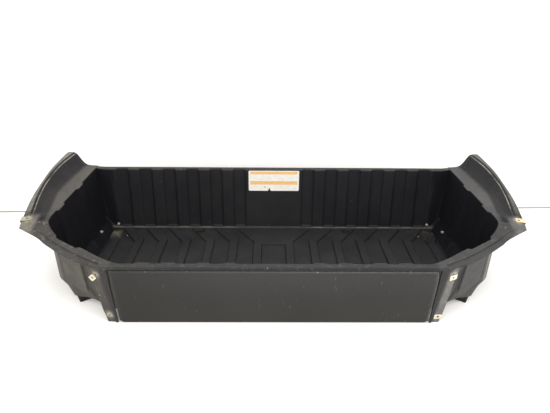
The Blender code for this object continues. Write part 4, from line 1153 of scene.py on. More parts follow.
# ------------------------------------------------------------------ materials
def tub_material():
    """Black plastic, dusty and worn where the vertex weights of the shell say so, with painted shade
    in the hollows and painted highlights and shadows on some edges and steps.
    """
    g = Graph("tub_plastic_worn_painted_light")
    dust, wear, inside = (g.attribute(name) for name in ("dust", "wear", "inside"))
    x, y, z = g.xyz()
    across = abs(x)
    drawn_y = y - SHIFT.y
    right = g.math("GREATER_THAN", x, 0.0)
    cloud = g.noise(scale=9.0, detail=5)
    soft = g.noise(scale=36.0, seed=3.1)
    grain = g.noise(scale=900.0, detail=2, rough=0.5, seed=1.7)
    streak = g.noise(scale=60.0, rough=0.65, stretch=(1.0, 1.0, 0.12), seed=5.0)
    base = g.mix(cloud.rise(0.30, 0.70), srgb(30, 30, 33), srgb(40, 40, 41))
    # painted shade: the hollow weight darkens the inner walls, the wing's hollow and a little of the
    # floor
    base = g.mix(inside, base, srgb(16, 16, 22))

    # film of dust in soft clouds and streaks, paler where it lies thick; the dust weight also
    # carries painted highlights on the wing's ledge and along the foot of the tall wall
    film = clamp(dust * (0.80 + soft.rise(0.35, 0.65) * 0.40))
    film = clamp(film * (0.80 + streak * 0.40))
    heavy = clamp((dust - 0.45) / 0.35)
    thin_dust = g.mix(right, srgb(136, 130, 120), srgb(132, 130, 128))
    thick_dust = g.mix(right, srgb(166, 160, 138), srgb(160, 157, 146))
    base = g.mix(film, base, g.mix(heavy, thin_dust, thick_dust))

    # outer face of the cut corner, below its rim: painted shadow on the step at the bulge's end and
    # a painted highlight band on the rounded bend next to the side wall, stronger on the right
    along = ((across - DIAG_A.x) * DIAG_DIR.x + (drawn_y - DIAG_A.y) * DIAG_DIR.y) * -1.0
    outer_corner = g.attribute("outside") * g.math("LESS_THAN", drawn_y, -0.100)
    outer_corner = outer_corner * clamp((0.178 - z) / 0.006)
    step = peak(along, at=DIAG_BULGE_SPAN[1], reach=0.0030)
    base = g.mix(clamp(step * outer_corner * 0.75), base, srgb(20, 20, 21))
    bend = peak(along, at=0.0110, reach=0.0065) * (0.22 + right * 0.33)
    base = g.mix(clamp(bend * outer_corner * (0.6 + soft * 0.8)), base, srgb(165, 162, 155))

    # wing edge, by distance out from the crest: worn line, dirty groove, scuffed band
    edge = g.attribute("edge")
    patchy = g.noise(scale=34.0, rough=0.65, seed=21.0).ramp((0.38, 0.15), (0.62, 1.0))
    edge_on = g.attribute("edge_on")
    worn_line = peak(edge, at=0.0006, reach=0.0017)
    groove = peak(edge, at=0.0052, reach=0.0024)
    band = clamp((edge - 0.0078) / 0.0020)
    band_strength = (0.46 - right * 0.18) * (0.55 + patchy * 0.6)
    base = g.mix(clamp(band * band_strength * edge_on), base, srgb(150, 147, 138))
    base = g.mix(clamp(groove * 0.80 * edge_on), base, srgb(22, 22, 22))
    base = g.mix(clamp(worn_line * (patchy * 0.72) * edge_on), base, srgb(176, 172, 160))

    # pale rubbed marks, then sparse bright nicks, both by wear
    rub = clamp(wear * g.noise(scale=95.0, rough=0.65, seed=9.0).rise(0.57, 0.66))
    base = g.mix(rub, base, srgb(158, 155, 146))
    specks = g.cells(scale=52.0, seed=2.0).ramp((0.0, 1.0), (0.060, 0.9), (0.085, 0.0))
    gate = g.noise(scale=22.0, detail=2, rough=0.5, seed=7.0).rise(0.53, 0.60)
    base = g.mix(clamp(specks * (gate * (0.12 + wear * 3.2))), base, srgb(205, 203, 196))

    # pale silt and brown litter in the rear corners
    crumbs = g.noise(scale=330.0, rough=0.7, seed=13.0).rise(0.38, 0.54)
    silt = clamp(g.attribute("silt") * (0.10 + crumbs * 1.05))
    base = g.mix(silt, base, srgb(178, 168, 142))
    litter = g.cells(scale=120.0, seed=23.0).ramp((0.16, 1.0), (0.46, 0.25), (0.66, 0.0))
    leaf = clamp(g.attribute("leaf") * litter)
    base = g.mix(leaf, base, g.mix(crumbs, srgb(86, 58, 50), srgb(150, 116, 96)))

    # painted highlight on the fillet: grey line up the foot of the rear corner posts, on the inner
    # face
    start = Vector((SIDE_FLOOR_X[0] - 0.004, BACK_FOOT_Y - 0.004, RIB_Z))
    run = Vector((SIDE_CHAMFER_X[0] + 0.001, BACK_FOOT_Y + 0.004, CHAMFER_Z + 0.008)) - start
    offset = g.vector_math("SUBTRACT", g.vector(across, drawn_y, z), start)
    share = clamp(g.vector_math("DOT_PRODUCT", offset, run) / run.length_squared)
    nearest = g.vector_math("SCALE", run, scale=share)
    away = g.vector_math("LENGTH", g.vector_math("SUBTRACT", offset, nearest))
    line = clamp(1.0 - away / 0.0034) * (1.0 - g.attribute("outside"))
    base = g.mix(clamp(line * 0.55), base, srgb(150, 148, 144))

    rough = clamp(0.48 + film * 0.4)
    rough = clamp(rough + (silt + leaf) * 0.4)
    rough = clamp(rough + (cloud - 0.5) * 0.25)
    normal = g.bump(grain, strength=0.10, distance=0.0006)
    waves = g.noise(scale=30.0, detail=3, rough=0.5, seed=4.0)
    normal = g.bump(waves, strength=0.05, distance=0.004, normal=normal)
    # specular is lowered where the painted shade of the hollow lies
    return g.finish(color=base, rough=rough, normal=normal, spec=0.17 - inside * 0.07)


def apron_material():
    """Dark grey plastic, browner to the lower left, scratched, with worn edges, a painted highlight
    along the top edge and painted shade along the foot.
    """
    g = Graph("apron_plastic_worn_painted_light")
    x, _, z = g.xyz()
    cloud = g.noise(scale=5.0, detail=5, seed=2.0)
    fine_noise = g.noise(scale=160.0, detail=3, seed=3.1)
    grain = g.noise(scale=1100.0, detail=2, rough=0.5, seed=1.7)
    low = g.mix(cloud.rise(0.3, 0.7), srgb(40, 39, 37), srgb(47, 45, 43))
    high = g.mix(cloud.rise(0.3, 0.7), srgb(47, 47, 47), srgb(52, 52, 52))
    base = g.mix(clamp((z - 0.085) / 0.060), low, high)
    to_left = clamp((-0.12 - x) / 0.26)
    base = g.mix(to_left * 0.60, base, srgb(29, 26, 23))
    # painted shade along the rounded lower edge, which faces down
    foot = clamp((0.0075 - z) / 0.0050)
    base = g.mix(foot * 0.55, base, srgb(28, 27, 27))
    # upright scratches
    scratch = g.cells(scale=60.0, stretch=(1.0, 1.0, 0.22), seed=4.4)
    scratch = scratch.ramp((0.0, 0.9), (0.06, 0.5), (0.11, 0.0))
    gate = g.noise(scale=14.0, detail=2, rough=0.5, seed=6.0).rise(0.44, 0.54)
    base = g.mix(clamp(scratch * gate * 0.50), base, srgb(112, 110, 105))
    # pale specks
    specks = g.cells(scale=60.0, seed=12.0).ramp((0.0, 1.0), (0.06, 0.7), (0.10, 0.0))
    gate = g.noise(scale=18.0, detail=2, rough=0.5, seed=17.0).rise(0.53, 0.61)
    base = g.mix(clamp(specks * gate * 0.4), base, srgb(150, 148, 140))
    # worn ends and foot and a painted highlight along the top edge, all stronger to the right, and
    # bright nicks on them
    wear = g.attribute("wear")
    to_right = 0.22 + clamp((x + 0.40) / 0.80) * 0.50
    worn = clamp(wear * to_right * fine_noise.ramp((0.38, 0.45), (0.62, 0.95)))
    base = g.mix(worn, base, srgb(112, 112, 112))
    nick = g.noise(scale=120.0, detail=3, seed=41.0).ramp((0.67, 0.0), (0.73, 0.8))
    base = g.mix(clamp(wear * nick), base, srgb(190, 188, 182))
    rough = clamp(0.44 + (cloud - 0.5) * 0.25)
    normal = g.bump(grain, strength=0.08, distance=0.0005)
    waves = g.noise(scale=9.0, detail=3, rough=0.5, seed=4.0)
    normal = g.bump(waves, strength=0.08, distance=0.01, normal=normal)
    return g.finish(color=base, rough=rough, normal=normal, spec=0.22)


def zinc_material(name, tint, rust, metallic):
    """Mottled zinc with rust spots; rust is their strength."""
    g = Graph(name)
    cloud = g.noise(scale=260.0, rough=0.65, seed=1.0)
    grain = g.noise(scale=1500.0, detail=3, seed=2.0)
    darker = tuple(channel * 0.74 for channel in tint)
    base = g.mix(cloud.rise(0.35, 0.65), tint, darker)
    spots = g.noise(scale=330.0, rough=0.7, seed=8.0).rise(0.56, 0.66)
    base = g.mix(spots * rust, base, srgb(120, 78, 48))
    return g.finish(color=base, rough=clamp(0.36 + cloud * 0.3),
                    metal=clamp(metallic - spots * (0.6 * metallic)),
                    normal=g.bump(grain, strength=0.15, distance=0.0003))


def rubber_material():
    g = Graph("pad_rubber_worn")
    base = g.mix(g.noise(scale=70.0).rise(0.4, 0.7), srgb(24, 24, 24), srgb(46, 44, 42))
    grain = g.noise(scale=700.0, detail=3)
    return g.finish(color=base, rough=0.8, normal=g.bump(grain, strength=0.2, distance=0.0006),
                    spec=0.3)


def black_steel_material():
    g = Graph("black_steel_coated")
    cloud = g.noise(scale=300.0)
    base = g.mix(cloud.rise(0.45, 0.7), srgb(34, 34, 36), srgb(70, 66, 60))
    grain = g.noise(scale=1200.0, detail=2, rough=0.5)
    return g.finish(color=base, rough=0.35 + cloud * 0.3, metal=0.6,
                    normal=g.bump(grain, strength=0.12, distance=0.0003))


def label_material():
    """White vinyl with two orange bands, yellowed and rubbed; local x along, y up."""
    g = Graph("label_vinyl_aged")
    x, y, _ = g.xyz()

    def between(value, low, high, soft=0.0004):
        return clamp((value - low) / soft) * clamp((high - value) / soft)

    across = between(x, -0.0792, 0.0788)
    bands = g.math("MAXIMUM", between(y, 0.0224, 0.0319), between(y, -0.0130, -0.0004))
    blotch = g.noise(scale=55.0)
    paper = g.mix(blotch.rise(0.35, 0.7), srgb(249, 247, 240), srgb(236, 233, 224))
    faded = g.noise(scale=90.0, rough=0.65, stretch=(1.0, 3.0, 1.0), seed=3.0)
    orange = g.mix(faded.rise(0.36, 0.66), srgb(249, 200, 134), srgb(240, 180, 106))
    base = g.mix(clamp(across * bands), paper, orange)
    # faint grey mottling in the two white fields
    fields = g.math("MAXIMUM", between(y, 0.0040, 0.0195), between(y, -0.0310, -0.0165))
    mottle = g.noise(scale=160.0, detail=3, stretch=(0.5, 2.2, 1.0), seed=6.0).rise(0.48, 0.62)
    base = g.mix(clamp(clamp(across * fields) * mottle * 0.22), base, srgb(176, 178, 182))
    # rubbed dark spots
    specks = g.cells(scale=95.0, seed=31.0).ramp((0.0, 1.0), (0.09, 0.8), (0.12, 0.0))
    gate = g.noise(scale=24.0, detail=2, rough=0.5, seed=5.0).rise(0.60, 0.66)
    base = g.mix(clamp(specks * gate * 0.7), base, srgb(70, 62, 56))
    # yellowed border, then the holes marked by the wear weight
    middle = between(x, -0.0837, 0.0837, 0.0022) * between(y, -0.0345, 0.0345, 0.0022)
    base = g.mix(clamp(clamp(1.0 - middle) * 0.35), base, srgb(190, 184, 170))
    base = g.mix(g.attribute("wear"), base, srgb(44, 40, 38))
    waves = g.noise(scale=60.0, detail=3, rough=0.5)
    return g.finish(color=base, rough=0.42, normal=g.bump(waves, strength=0.06, distance=0.001),
                    spec=0.4)


TUB = tub_material()
LABEL = label_material()
APRON = apron_material()
CLIP_ZINC = zinc_material("clip_zinc_dull", srgb(228, 220, 196), rust=0.30, metallic=0.45)
CLIP_CREAM = zinc_material("clip_zinc_cream", srgb(252, 246, 222), rust=0.12, metallic=0.25)
CLIP_PEACH = zinc_material("clip_zinc_stained", srgb(240, 208, 164), rust=0.22, metallic=0.25)
CLIP_DUSTY = zinc_material("clip_zinc_dusty", srgb(158, 152, 132), rust=0.10, metallic=0.10)
BOLT_ZINC = zinc_material("bolt_zinc_clear", srgb(214, 212, 204), rust=0.15, metallic=0.85)
RUBBER = rubber_material()
BLACK = black_steel_material()

# ------------------------------------------------------------------ shell object and its holes
tub = add_object("bed_tub_moulding", build_shell(), TUB)
bare_shell = BVHTree.FromObject(tub, depsgraph())


def skin(across, other, way):
    """Place and normal where a ray meets the shell: from above (x, y) or the front (x, z)."""
    if way == "down":
        origin, ray = Vector((across, other, 1.0)), Vector((0, 0, -1))
    else:
        origin, ray = Vector((across, -1.0, other)), Vector((0, 1, 0))
    hit, normal, _, _ = bare_shell.ray_cast(origin, ray)
    return hit, (-normal if normal.dot(ray) > 0 else normal)


# clip nut: (ray across, ray's other coordinate, ray's way, direction of the fold, finish)
CLIPS = {
    "tip_right": (0.6452, -0.1065, "down", (1, -0.12, -0.05), CLIP_PEACH),
    "tip_left": (-0.6452, -0.1065, "down", (-1, -0.12, -0.05), CLIP_DUSTY),
    "upper_right": (0.4403, 0.1445, "front", (1, 0.15, 0.02), CLIP_CREAM),
    "upper_left": (-0.4465, 0.1403, "front", (-0.72, 0.10, -0.66), CLIP_ZINC),
    "lower_right": (0.4239, 0.0195, "front", (1, 0.10, 0.0), CLIP_ZINC),
}
clip_frames = {name: frame_on(*skin(across, other, way), fold)
               for name, (across, other, way, fold, _) in CLIPS.items()}
TUB_HOLES = [clip_frames["tip_right"], clip_frames["tip_left"],
             frame_on(*skin(0.4395, 0.1530, "front")), frame_on(*skin(-0.4365, 0.1515, "front")),
             clip_frames["lower_right"], frame_on(*skin(-0.4228, 0.0226, "front"))]


def chamfer_point(y, z):
    _, step_x, chamfer_x = side_foot(y)
    return Vector((mix(step_x, chamfer_x, (z - RIB_Z) / (CHAMFER_Z - RIB_Z)), y, z))


def chamfer_normal(y):
    low = chamfer_point(y, 0.035)
    up, rearwards = chamfer_point(y, 0.055) - low, chamfer_point(y + 0.02, 0.035) - low
    normal = up.cross(rearwards).normalized()
    return normal if normal.x < 0 else -normal


def back_wall_point(x, z):
    share = (z - RIB_Z) / (BACK_RIM_Z - RIB_Z)
    return Vector((x, mix(BACK_LOW_Y, BACK_TOP_Y, share), z))


def flip(vector):
    return Vector((-vector[0], vector[1], vector[2]))


BACK_NORMAL = Vector((0, -(BACK_RIM_Z - RIB_Z), BACK_TOP_Y - BACK_LOW_Y)).normalized()
back_fix = back_wall_point(0.5320, 0.0400)
# corner bolt: (point on the inner face, normal, spin in radians)
CORNER_FIX = {
    "side_right": (chamfer_point(0.1488, 0.0500), chamfer_normal(0.148), 0.4),
    "back_right": (back_fix, BACK_NORMAL, 1.1),
    "side_left": (flip(chamfer_point(0.1400, 0.0520)), flip(chamfer_normal(0.140)), 0.2),
    "back_left": (flip(back_fix), BACK_NORMAL, 0.8)}


def drillings(shape):
    for matrix in TUB_HOLES:
        tube(shape, 0.0033, -0.012, 0.010, matrix)
    for point, normal, _ in CORNER_FIX.values():
        tube(shape, 0.0033, -0.010, 0.010, frame_on(point, normal))
    for x, y in fix_places:
        tube(shape, 0.0047, 0.010, 0.040, Matrix.Translation((x, y, 0)))
    for x, y, _, _ in PADS.values():
        tube(shape, 0.0026, 0.010, 0.028, Matrix.Translation((x, y, 0)))


cut(tub, drillings, "drillings")


def sampled(points, y):
    ys = np.linspace(-0.15, 0.27, 421)
    return np.interp(y, ys, [smooth(v, points) for v in ys])


def fade(values, start, length):
    """0 before start, rising to 1 over the length."""
    return np.clip((values - start) / length, 0, 1)


def blob(offset, reach):
    return (offset / reach) ** 2


def add_weights(mesh):
    """Per-vertex weights that steer the tub material, from the place on the shell."""
    count = len(mesh.vertices)
    places, outside, zones = np.zeros(count * 3), np.zeros(count), np.zeros(count)
    mesh.vertices.foreach_get("co", places)
    mesh.attributes["outside"].data.foreach_get("value", outside)
    mesh.attributes["zone"].data.foreach_get("value", zones)
    places = places.reshape(-1, 3)
    x, y, z = places.T
    across, right = np.abs(x), x > 0
    top = outside < 0.5
    wall, floor = top & (zones < 0.5), top & (zones > 2.5)
    leg = (zones > 1.5) & (zones < 2.5)
    rim = top & (zones > 0.5) & (zones < 1.5)
    foot, crest = sampled(WING_FOOT_X, y), sampled(WING_CREST_X, y)
    wing = rim & (across > SIDE_TOP_X - 0.01) & (y > -0.115)
    dust, wear = np.where(right, 0.235, 0.265), np.full(count, 0.05)
    inside = np.zeros(count)            # shade of the hollow

    def paint(area, **values):
        """Sets the weights of an area; arrays are read at the same vertices."""
        for name, value in values.items():
            target = {"dust": dust, "wear": wear, "inside": inside}[name]
            target[area] = value[area] if isinstance(value, np.ndarray) else value

    # painted shade on the inner walls, deeper towards the sides and near black on the side walls; a
    # little on the floor
    paint(wall, inside=0.12 + 0.28 * fade(across, 0.10, 0.12), dust=0.012, wear=0.0)
    paint(wall & (across > 0.535), inside=0.95)
    paint(floor, inside=0.05, dust=0.010, wear=0.015)
    paint(rim, dust=0.030, wear=0.10)
    paint(rim & (y > 0.255) & (across < 0.50), dust=0.03, wear=0.16)
    paint(rim & (y < -0.115) & (across > 0.40), dust=0.11, wear=np.where(right, 0.08, 0.24))
    # wing: ledge at its foot made paler by the dust weight, partly dust and partly painted light on
    # its upward face; painted shade in the dark hollow; scuffed edge; the dust thins forwards
    slope = np.clip((across - foot) / np.maximum(crest - foot, 1e-6), 0, 1)
    rearwards = np.clip((y + 0.115) / 0.10, 0, 1)
    ledge = np.clip((foot + 0.004 - across) / 0.005, 0, 1)
    hollow_dust = (1 - ledge) * (0.010 + 0.045 * rearwards) * (1 - 0.3 * slope)
    paint(wing, dust=0.21 * ledge * (0.35 + 0.65 * rearwards) + hollow_dust,
          inside=0.95 * (1 - ledge), wear=0.02 + 0.10 * fade(across, crest, 0.004))
    # wing's tip, dustier on the left
    near_tip = np.clip((-0.083 - y) / 0.020, 0, 1) * fade(across, 0.612, 0.012)
    paint(rim & (across > 0.612) & (y < -0.083),
          dust=np.maximum(dust, np.where(right, 0.34, 0.50) * near_tip))
    # legs: pale strip beyond a slanting line
    strip = np.clip((across - (0.4100 + 0.10 * z)) / 0.005, 0, 1)
    up = fade(z, 0.03, 0.10)
    strip_dust = np.where(right, 0.48 + 0.12 * up, 0.17 + 0.04 * up)
    paint(leg, dust=0.05 + (strip_dust - 0.05) * strip,
          wear=0.03 + np.where(right, 0.30, 0.10) * strip)
    # rings of dust round the holes
    for matrix in TUB_HOLES:
        hole = matrix.translation
        distance = np.linalg.norm(places - np.array(hole), axis=1)
        reach = 0.021 if abs(hole[0]) > 0.6 else 0.016
        strength = 0.95 if (hole[0] < 0 or hole[2] > 0.10) else 0.62
        halo = strength * np.clip(1.5 * (1 - distance / reach), 0, 1)
        dust = np.maximum(dust, np.where(distance < reach, halo, 0))
    # pale silt in the rear left corner, brown litter at the rear right
    silt = np.minimum(1.5 * np.exp(-(blob(x + 0.500, 0.030) + blob(y - 0.183, 0.008))), 1) * floor
    leaf = np.exp(-(blob(x - 0.503, 0.036) + blob(y - 0.182, 0.016))) * floor
    # painted highlight: thin pale line on the ledge at the foot of the tall wall, laid into the dust
    # weight
    line = (np.exp(-blob(y - 0.2125, 0.0035)) * (z < 0.034)
            * np.clip((across - 0.05) / 0.1, 0.4, 1) * 0.42)
    dust = np.maximum(dust, line * top)
    # distance out from the wing's crest, and where that counts
    edge = np.where(wing, across - crest, 0.0)
    edge_on = np.where(wing, np.clip((y + 0.095) / 0.035, 0, 1), 0.0)
    for name, values in (("dust", dust), ("wear", wear), ("inside", inside), ("silt", silt * top),
                         ("leaf", leaf * top), ("edge", edge), ("edge_on", edge_on)):
        attribute = mesh.attributes.new(name, "FLOAT", "POINT")
        attribute.data.foreach_set("value", values.astype(np.float32))


add_weights(tub.data)
shade(tub.data, 38)
weighted = tub.modifiers.new("normals", "WEIGHTED_NORMAL")
weighted.keep_sharp = True
weighted.weight = 60
tub.data.transform(Matrix.Translation(SHIFT))
tub.data.update()
fit(tub, "bed_tub")


# ------------------------------------------------------------------ turned and hexagonal pieces
# Levels are (z, radius or radius by angle, optional cap on the radius), in order round the
# outline of the section.
def hexagon(corner_radius):
    """Radius of a hexagon at an angle."""
    flat = corner_radius * math.cos(math.pi / 6)
    return lambda angle: flat / math.cos((angle % (math.pi / 3)) - math.pi / 6)


def lathe(shape, levels, segments, closed=False):
    rings = []
    for z, radius, *cap in levels:
        if radius == 0:
            rings.append([shape.verts.new((0, 0, z))])
            continue
        ring = []
        for k in range(segments):
            angle = 2 * math.pi * k / segments
            r = radius(angle) if callable(radius) else radius
            if cap:
                r = min(r, cap[0])
            ring.append(shape.verts.new((r * math.cos(angle), r * math.sin(angle), z)))
        rings.append(ring)
    pairs = list(zip(rings, rings[1:])) + ([(rings[-1], rings[0])] if closed else [])
    for p, q in pairs:
        if len(p) == 1 and len(q) == 1:
            continue
        for k in range(segments):
            after = (k + 1) % segments
            if len(p) == 1:
                shape.faces.new((p[0], q[k], q[after]))
            elif len(q) == 1:
                shape.faces.new((p[k], p[after], q[0]))
            else:
                shape.faces.new((p[k], p[after], q[after], q[k]))


def lathe_cutter(shape, levels, segments=40):
    lathe(shape, levels, segments)
    bmesh.ops.recalc_face_normals(shape, faces=shape.faces)


def piece(name, levels, material, matrix, closed=False, segments=48):
    shape = bmesh.new()
    lathe(shape, levels, segments, closed)
    bmesh.ops.remove_doubles(shape, verts=shape.verts, dist=1e-7)
    bmesh.ops.recalc_face_normals(shape, faces=shape.faces)
    obj = add_object("fine_" + name, shape, material)
    shade(obj.data, 32)
    obj.matrix_world = Matrix.Translation(SHIFT) @ matrix
    fit(obj, name)


def thread(start, stop, pitch, crest, root, root_step):
    """Levels of a thread from start to stop; a negative pitch runs downwards."""
    levels = []
    z = start
    while (stop - z) * pitch > 0:
        levels += [(z, crest), (z + root_step, root)]
        z += pitch
    return levels


def headed(flange, flange_h, corners, head_top, shank, shank_end, thread_top, pitch=0.0010):
    """Flanged hexagon bolt: washer face at z = 0, head above, shank below."""
    bevel = 0.00025
    hexa = hexagon(corners)
    flat = corners * math.cos(math.pi / 6)
    shoulder = (corners - flat) * 0.55
    return [(shank_end, 0.0), (shank_end, shank - 0.0005), (shank_end + 0.0006, shank),
            *thread(shank_end + 0.0010, thread_top, pitch, shank, shank - 0.00035, pitch * 0.5),
            (-0.0001, shank), (0.0, shank), (0.0, flange - bevel), (bevel, flange),
            (flange_h * 0.55, flange), (flange_h, flange - 2.2 * bevel),
            (flange_h + 0.0001, corners + 0.0003), (flange_h + 0.0004, hexa),
            (head_top - shoulder - 0.0002, hexa, corners - 0.00005),
            *((head_top - shoulder * (1 - t), hexa, mix(corners, flat - 0.0002, t))
              for t in (0.35, 0.7, 1.0)),
            (head_top + 0.00002, flat * 0.80), (head_top - 0.00025, flat * 0.74),
            (head_top - 0.00028, 0.0)]


def spun(point, normal, spin):
    return frame_on(point, normal, (1, 0.2, 0.1)) @ Matrix.Rotation(spin, 4, "Z")


CORNER_BOLT = headed(flange=0.0049, flange_h=0.0011, corners=0.0040, head_top=0.0042,
                     shank=0.0028, shank_end=-0.0150, thread_top=-0.0055)
NUT_HEX, NUT_BORE, NUT_FLANGE, BEVEL = hexagon(0.0056), 0.0032, 0.0062, 0.00025
CORNER_NUT = [
    (0.0, NUT_BORE + BEVEL), (-BEVEL, NUT_BORE), (-0.0030, NUT_BORE),
    (-0.0060 + 2 * BEVEL, NUT_BORE), (-0.0060, NUT_BORE + 2 * BEVEL), (-0.0060, NUT_HEX, 0.0047),
    (-0.0056, NUT_HEX, 0.0052), (-0.0051, NUT_HEX), (-0.0016, NUT_HEX), (-0.0013, 0.0058),
    (-0.0012, NUT_FLANGE - BEVEL), (-0.0010, NUT_FLANGE), (-BEVEL, NUT_FLANGE),
    (0.0, NUT_FLANGE - BEVEL)]
for name, (point, normal, spin) in CORNER_FIX.items():
    piece("corner_bolt_" + name, CORNER_BOLT, BOLT_ZINC,
          spun(point + normal * 0.0006, normal, spin))
    piece("corner_nut_" + name, CORNER_NUT, BOLT_ZINC,
          spun(point - normal * (WALL + 0.0008), normal, spin + 0.3), closed=True)

WASHER_T, BORE, RADIUS, RING_BEVEL = 0.0015, 0.0043, 0.0110, 0.0003
FLOOR_BOLT = headed(flange=0.0085, flange_h=0.0015, corners=0.0064, head_top=0.0068,
                    shank=0.0038, shank_end=-0.0240, thread_top=-0.0060, pitch=0.0012)


def ring_levels(height):
    """Bevelled top and outside of a washer or spacer that stands on z = 0."""
    return [(height - RING_BEVEL, BORE), (height, BORE + RING_BEVEL),
            (height, RADIUS - RING_BEVEL), (height - RING_BEVEL, RADIUS),
            (RING_BEVEL, RADIUS), (0.0, RADIUS - RING_BEVEL)]


for name, (x, y) in FLOOR_FIX.items():
    seat = REAR_SEAT_Z if name.startswith("rear") else FLOOR_Z
    spin = Matrix.Rotation(0.35 + 2.1 * x + y * 5, 4, "Z")
    piece("floor_washer_" + name, [(0.0, BORE)] + ring_levels(WASHER_T), BLACK,
          Matrix.Translation((x, y, seat + GAP)), closed=True)
    piece("floor_bolt_" + name, FLOOR_BOLT, BLACK,
          Matrix.Translation((x, y, seat + 2 * GAP + WASHER_T)) @ spin)
    piece("floor_spacer_" + name,
          [(0.0, BORE + RING_BEVEL), (RING_BEVEL, BORE)] + ring_levels(FLOOR_Z - WALL - GAP),
          BOLT_ZINC, Matrix.Translation((x, y, 0)), closed=True)

PAD_SCREW = [
    (0.0270, 0.0), (0.0268, 0.0006), (0.0250, 0.0016), (0.0240, 0.0020),
    *thread(0.0232, 0.0052, pitch=-0.0011, crest=0.0020, root=0.0016, root_step=-0.0005),
    (0.0046, 0.0020), (0.0045, 0.0044), (0.0043, 0.0048), (0.0034, 0.0048), (0.0026, 0.0043),
    (0.0021, 0.0034), (0.0020, 0.0024), (0.0021, 0.0018), (0.0030, 0.0015), (0.0030, 0.0)]
for name, (x, y, _, _) in PADS.items():
    piece("pad_screw_" + name, PAD_SCREW, BOLT_ZINC,
          Matrix.Translation((x, y, 0)), segments=32)

APRON_SCREW = [
    (0.0105, 0.0), (0.0103, 0.0006), (0.0092, 0.0014),
    *thread(0.0086, 0.0012, pitch=-0.0009, crest=0.0016, root=0.0013, root_step=-0.0004),
    (0.0, 0.0016), (0.0, 0.0032), (-0.0003, 0.0034), (-0.0010, 0.0034), (-0.0018, 0.0028),
    (-0.0022, 0.0016), (-0.0022, 0.0012), (-0.0014, 0.0010), (-0.0014, 0.0)]
for k, x in enumerate(APRON_SCREW_X):
    place = Matrix.Translation((x, APRON_SCREW_Y, APRON_TOP_Z - APRON_T - GAP))
    piece("apron_screw_%d" % (k + 1), APRON_SCREW, BOLT_ZINC, place, segments=28)

# ------------------------------------------------------------------ clip nuts
CLIP_W, CLIP_T = 0.0150, 0.0010


def clip_nut(name, matrix, material):
    """Steel strip folded over the sheet, with a pressed barrel on the far side.

    Local z is the sheet's normal, x points to the fold and the bore is on the z axis.
    """
    on_tip = name.startswith("tip")
    reach, length, air = (0.0158, 0.0262, 0.0014) if on_tip else (0.0100, 0.0230, 0.0010)
    upper, lower = air + CLIP_T / 2, -WALL - air - CLIP_T / 2
    radius = (upper - lower) / 2
    tail_x, fold_x = reach + 0.0030 - length, reach + 0.0030 - CLIP_T / 2 - radius
    path = [(mix(tail_x, fold_x, k / 12), upper) for k in range(12)]
    for k in range(13):
        angle = math.pi / 2 - math.pi * k / 12
        path.append((fold_x + radius * math.cos(angle),
                     (upper + lower) / 2 + radius * math.sin(angle)))
    for k in range(1, 13):              # the lower leaf ends in a small flare
        flare = 0.0009 * ((k - 9) / 3) ** 2 if k > 9 else 0.0
        path.append((mix(fold_x, tail_x + 0.0030, k / 12), lower - flare))
    run = [0.0]
    for p, q in zip(path, path[1:]):
        run.append(run[-1] + math.dist(p, q))

    shape = bmesh.new()
    sections = []
    thick, bevel, round_end = CLIP_T / 2, 0.00018, 0.0030
    for k, (x, z) in enumerate(path):
        p, q = path[max(k - 1, 0)], path[min(k + 1, len(path) - 1)]
        step_x, step_z = q[0] - p[0], q[1] - p[1]
        step = math.hypot(step_x, step_z)
        normal_x, normal_z = -step_z / step, step_x / step
        half = CLIP_W / 2
        to_end = min(run[k], run[-1] - run[k])
        if to_end < round_end:
            half -= 0.0016 * (1 - math.sqrt(max(0.0, 1 - (1 - to_end / round_end) ** 2)))
        if p[0] > fold_x + 0.0001 or q[0] > fold_x + 0.0001:
            half -= 0.0006
        section = [(-half, -thick + bevel), (-half + bevel, -thick), (half - bevel, -thick),
                   (half, -thick + bevel), (half, thick - bevel), (half - bevel, thick),
                   (-half + bevel, thick), (-half, thick - bevel)]
        sections.append([shape.verts.new((x + normal_x * out, across, z + normal_z * out))
                         for across, out in section])
    for p, q in zip(sections, sections[1:]):
        for k in range(8):
            shape.faces.new((p[k], p[(k + 1) % 8], q[(k + 1) % 8], q[k]))
    shape.faces.new(sections[0][::-1])
    shape.faces.new(sections[-1])
    bmesh.ops.recalc_face_normals(shape, faces=shape.faces)
    obj = add_object("fine_clip_nut_" + name, shape, material)

    under = lower - CLIP_T / 2
    end = under - 0.0045
    barrel_r, edge = 0.0048, 0.0003
    barrel = [(end, 0.0), (end, barrel_r - 2 * edge), (end + edge, barrel_r - edge),
              (end + 3 * edge, barrel_r), (under - 0.0010, barrel_r), (under - 0.0004, 0.0051),
              (under - 0.0001, 0.0057), (under + 0.0004, 0.0058), (under + 0.0004, 0.0)]
    bore = [(under - 0.010, 0.0), (under - 0.010, 0.0030), (0.010, 0.0030), (0.010, 0.0)]
    cut(obj, lambda cutter: lathe_cutter(cutter, barrel), "clip_barrel", "UNION")
    cut(obj, lambda cutter: lathe_cutter(cutter, bore), "clip_bore")
    shade(obj.data, 32)
    obj.matrix_world = Matrix.Translation(SHIFT) @ matrix
    fit(obj, "clip_nut_" + name)


for name, matrix in clip_frames.items():
    clip_nut(name, matrix, CLIPS[name][-1])


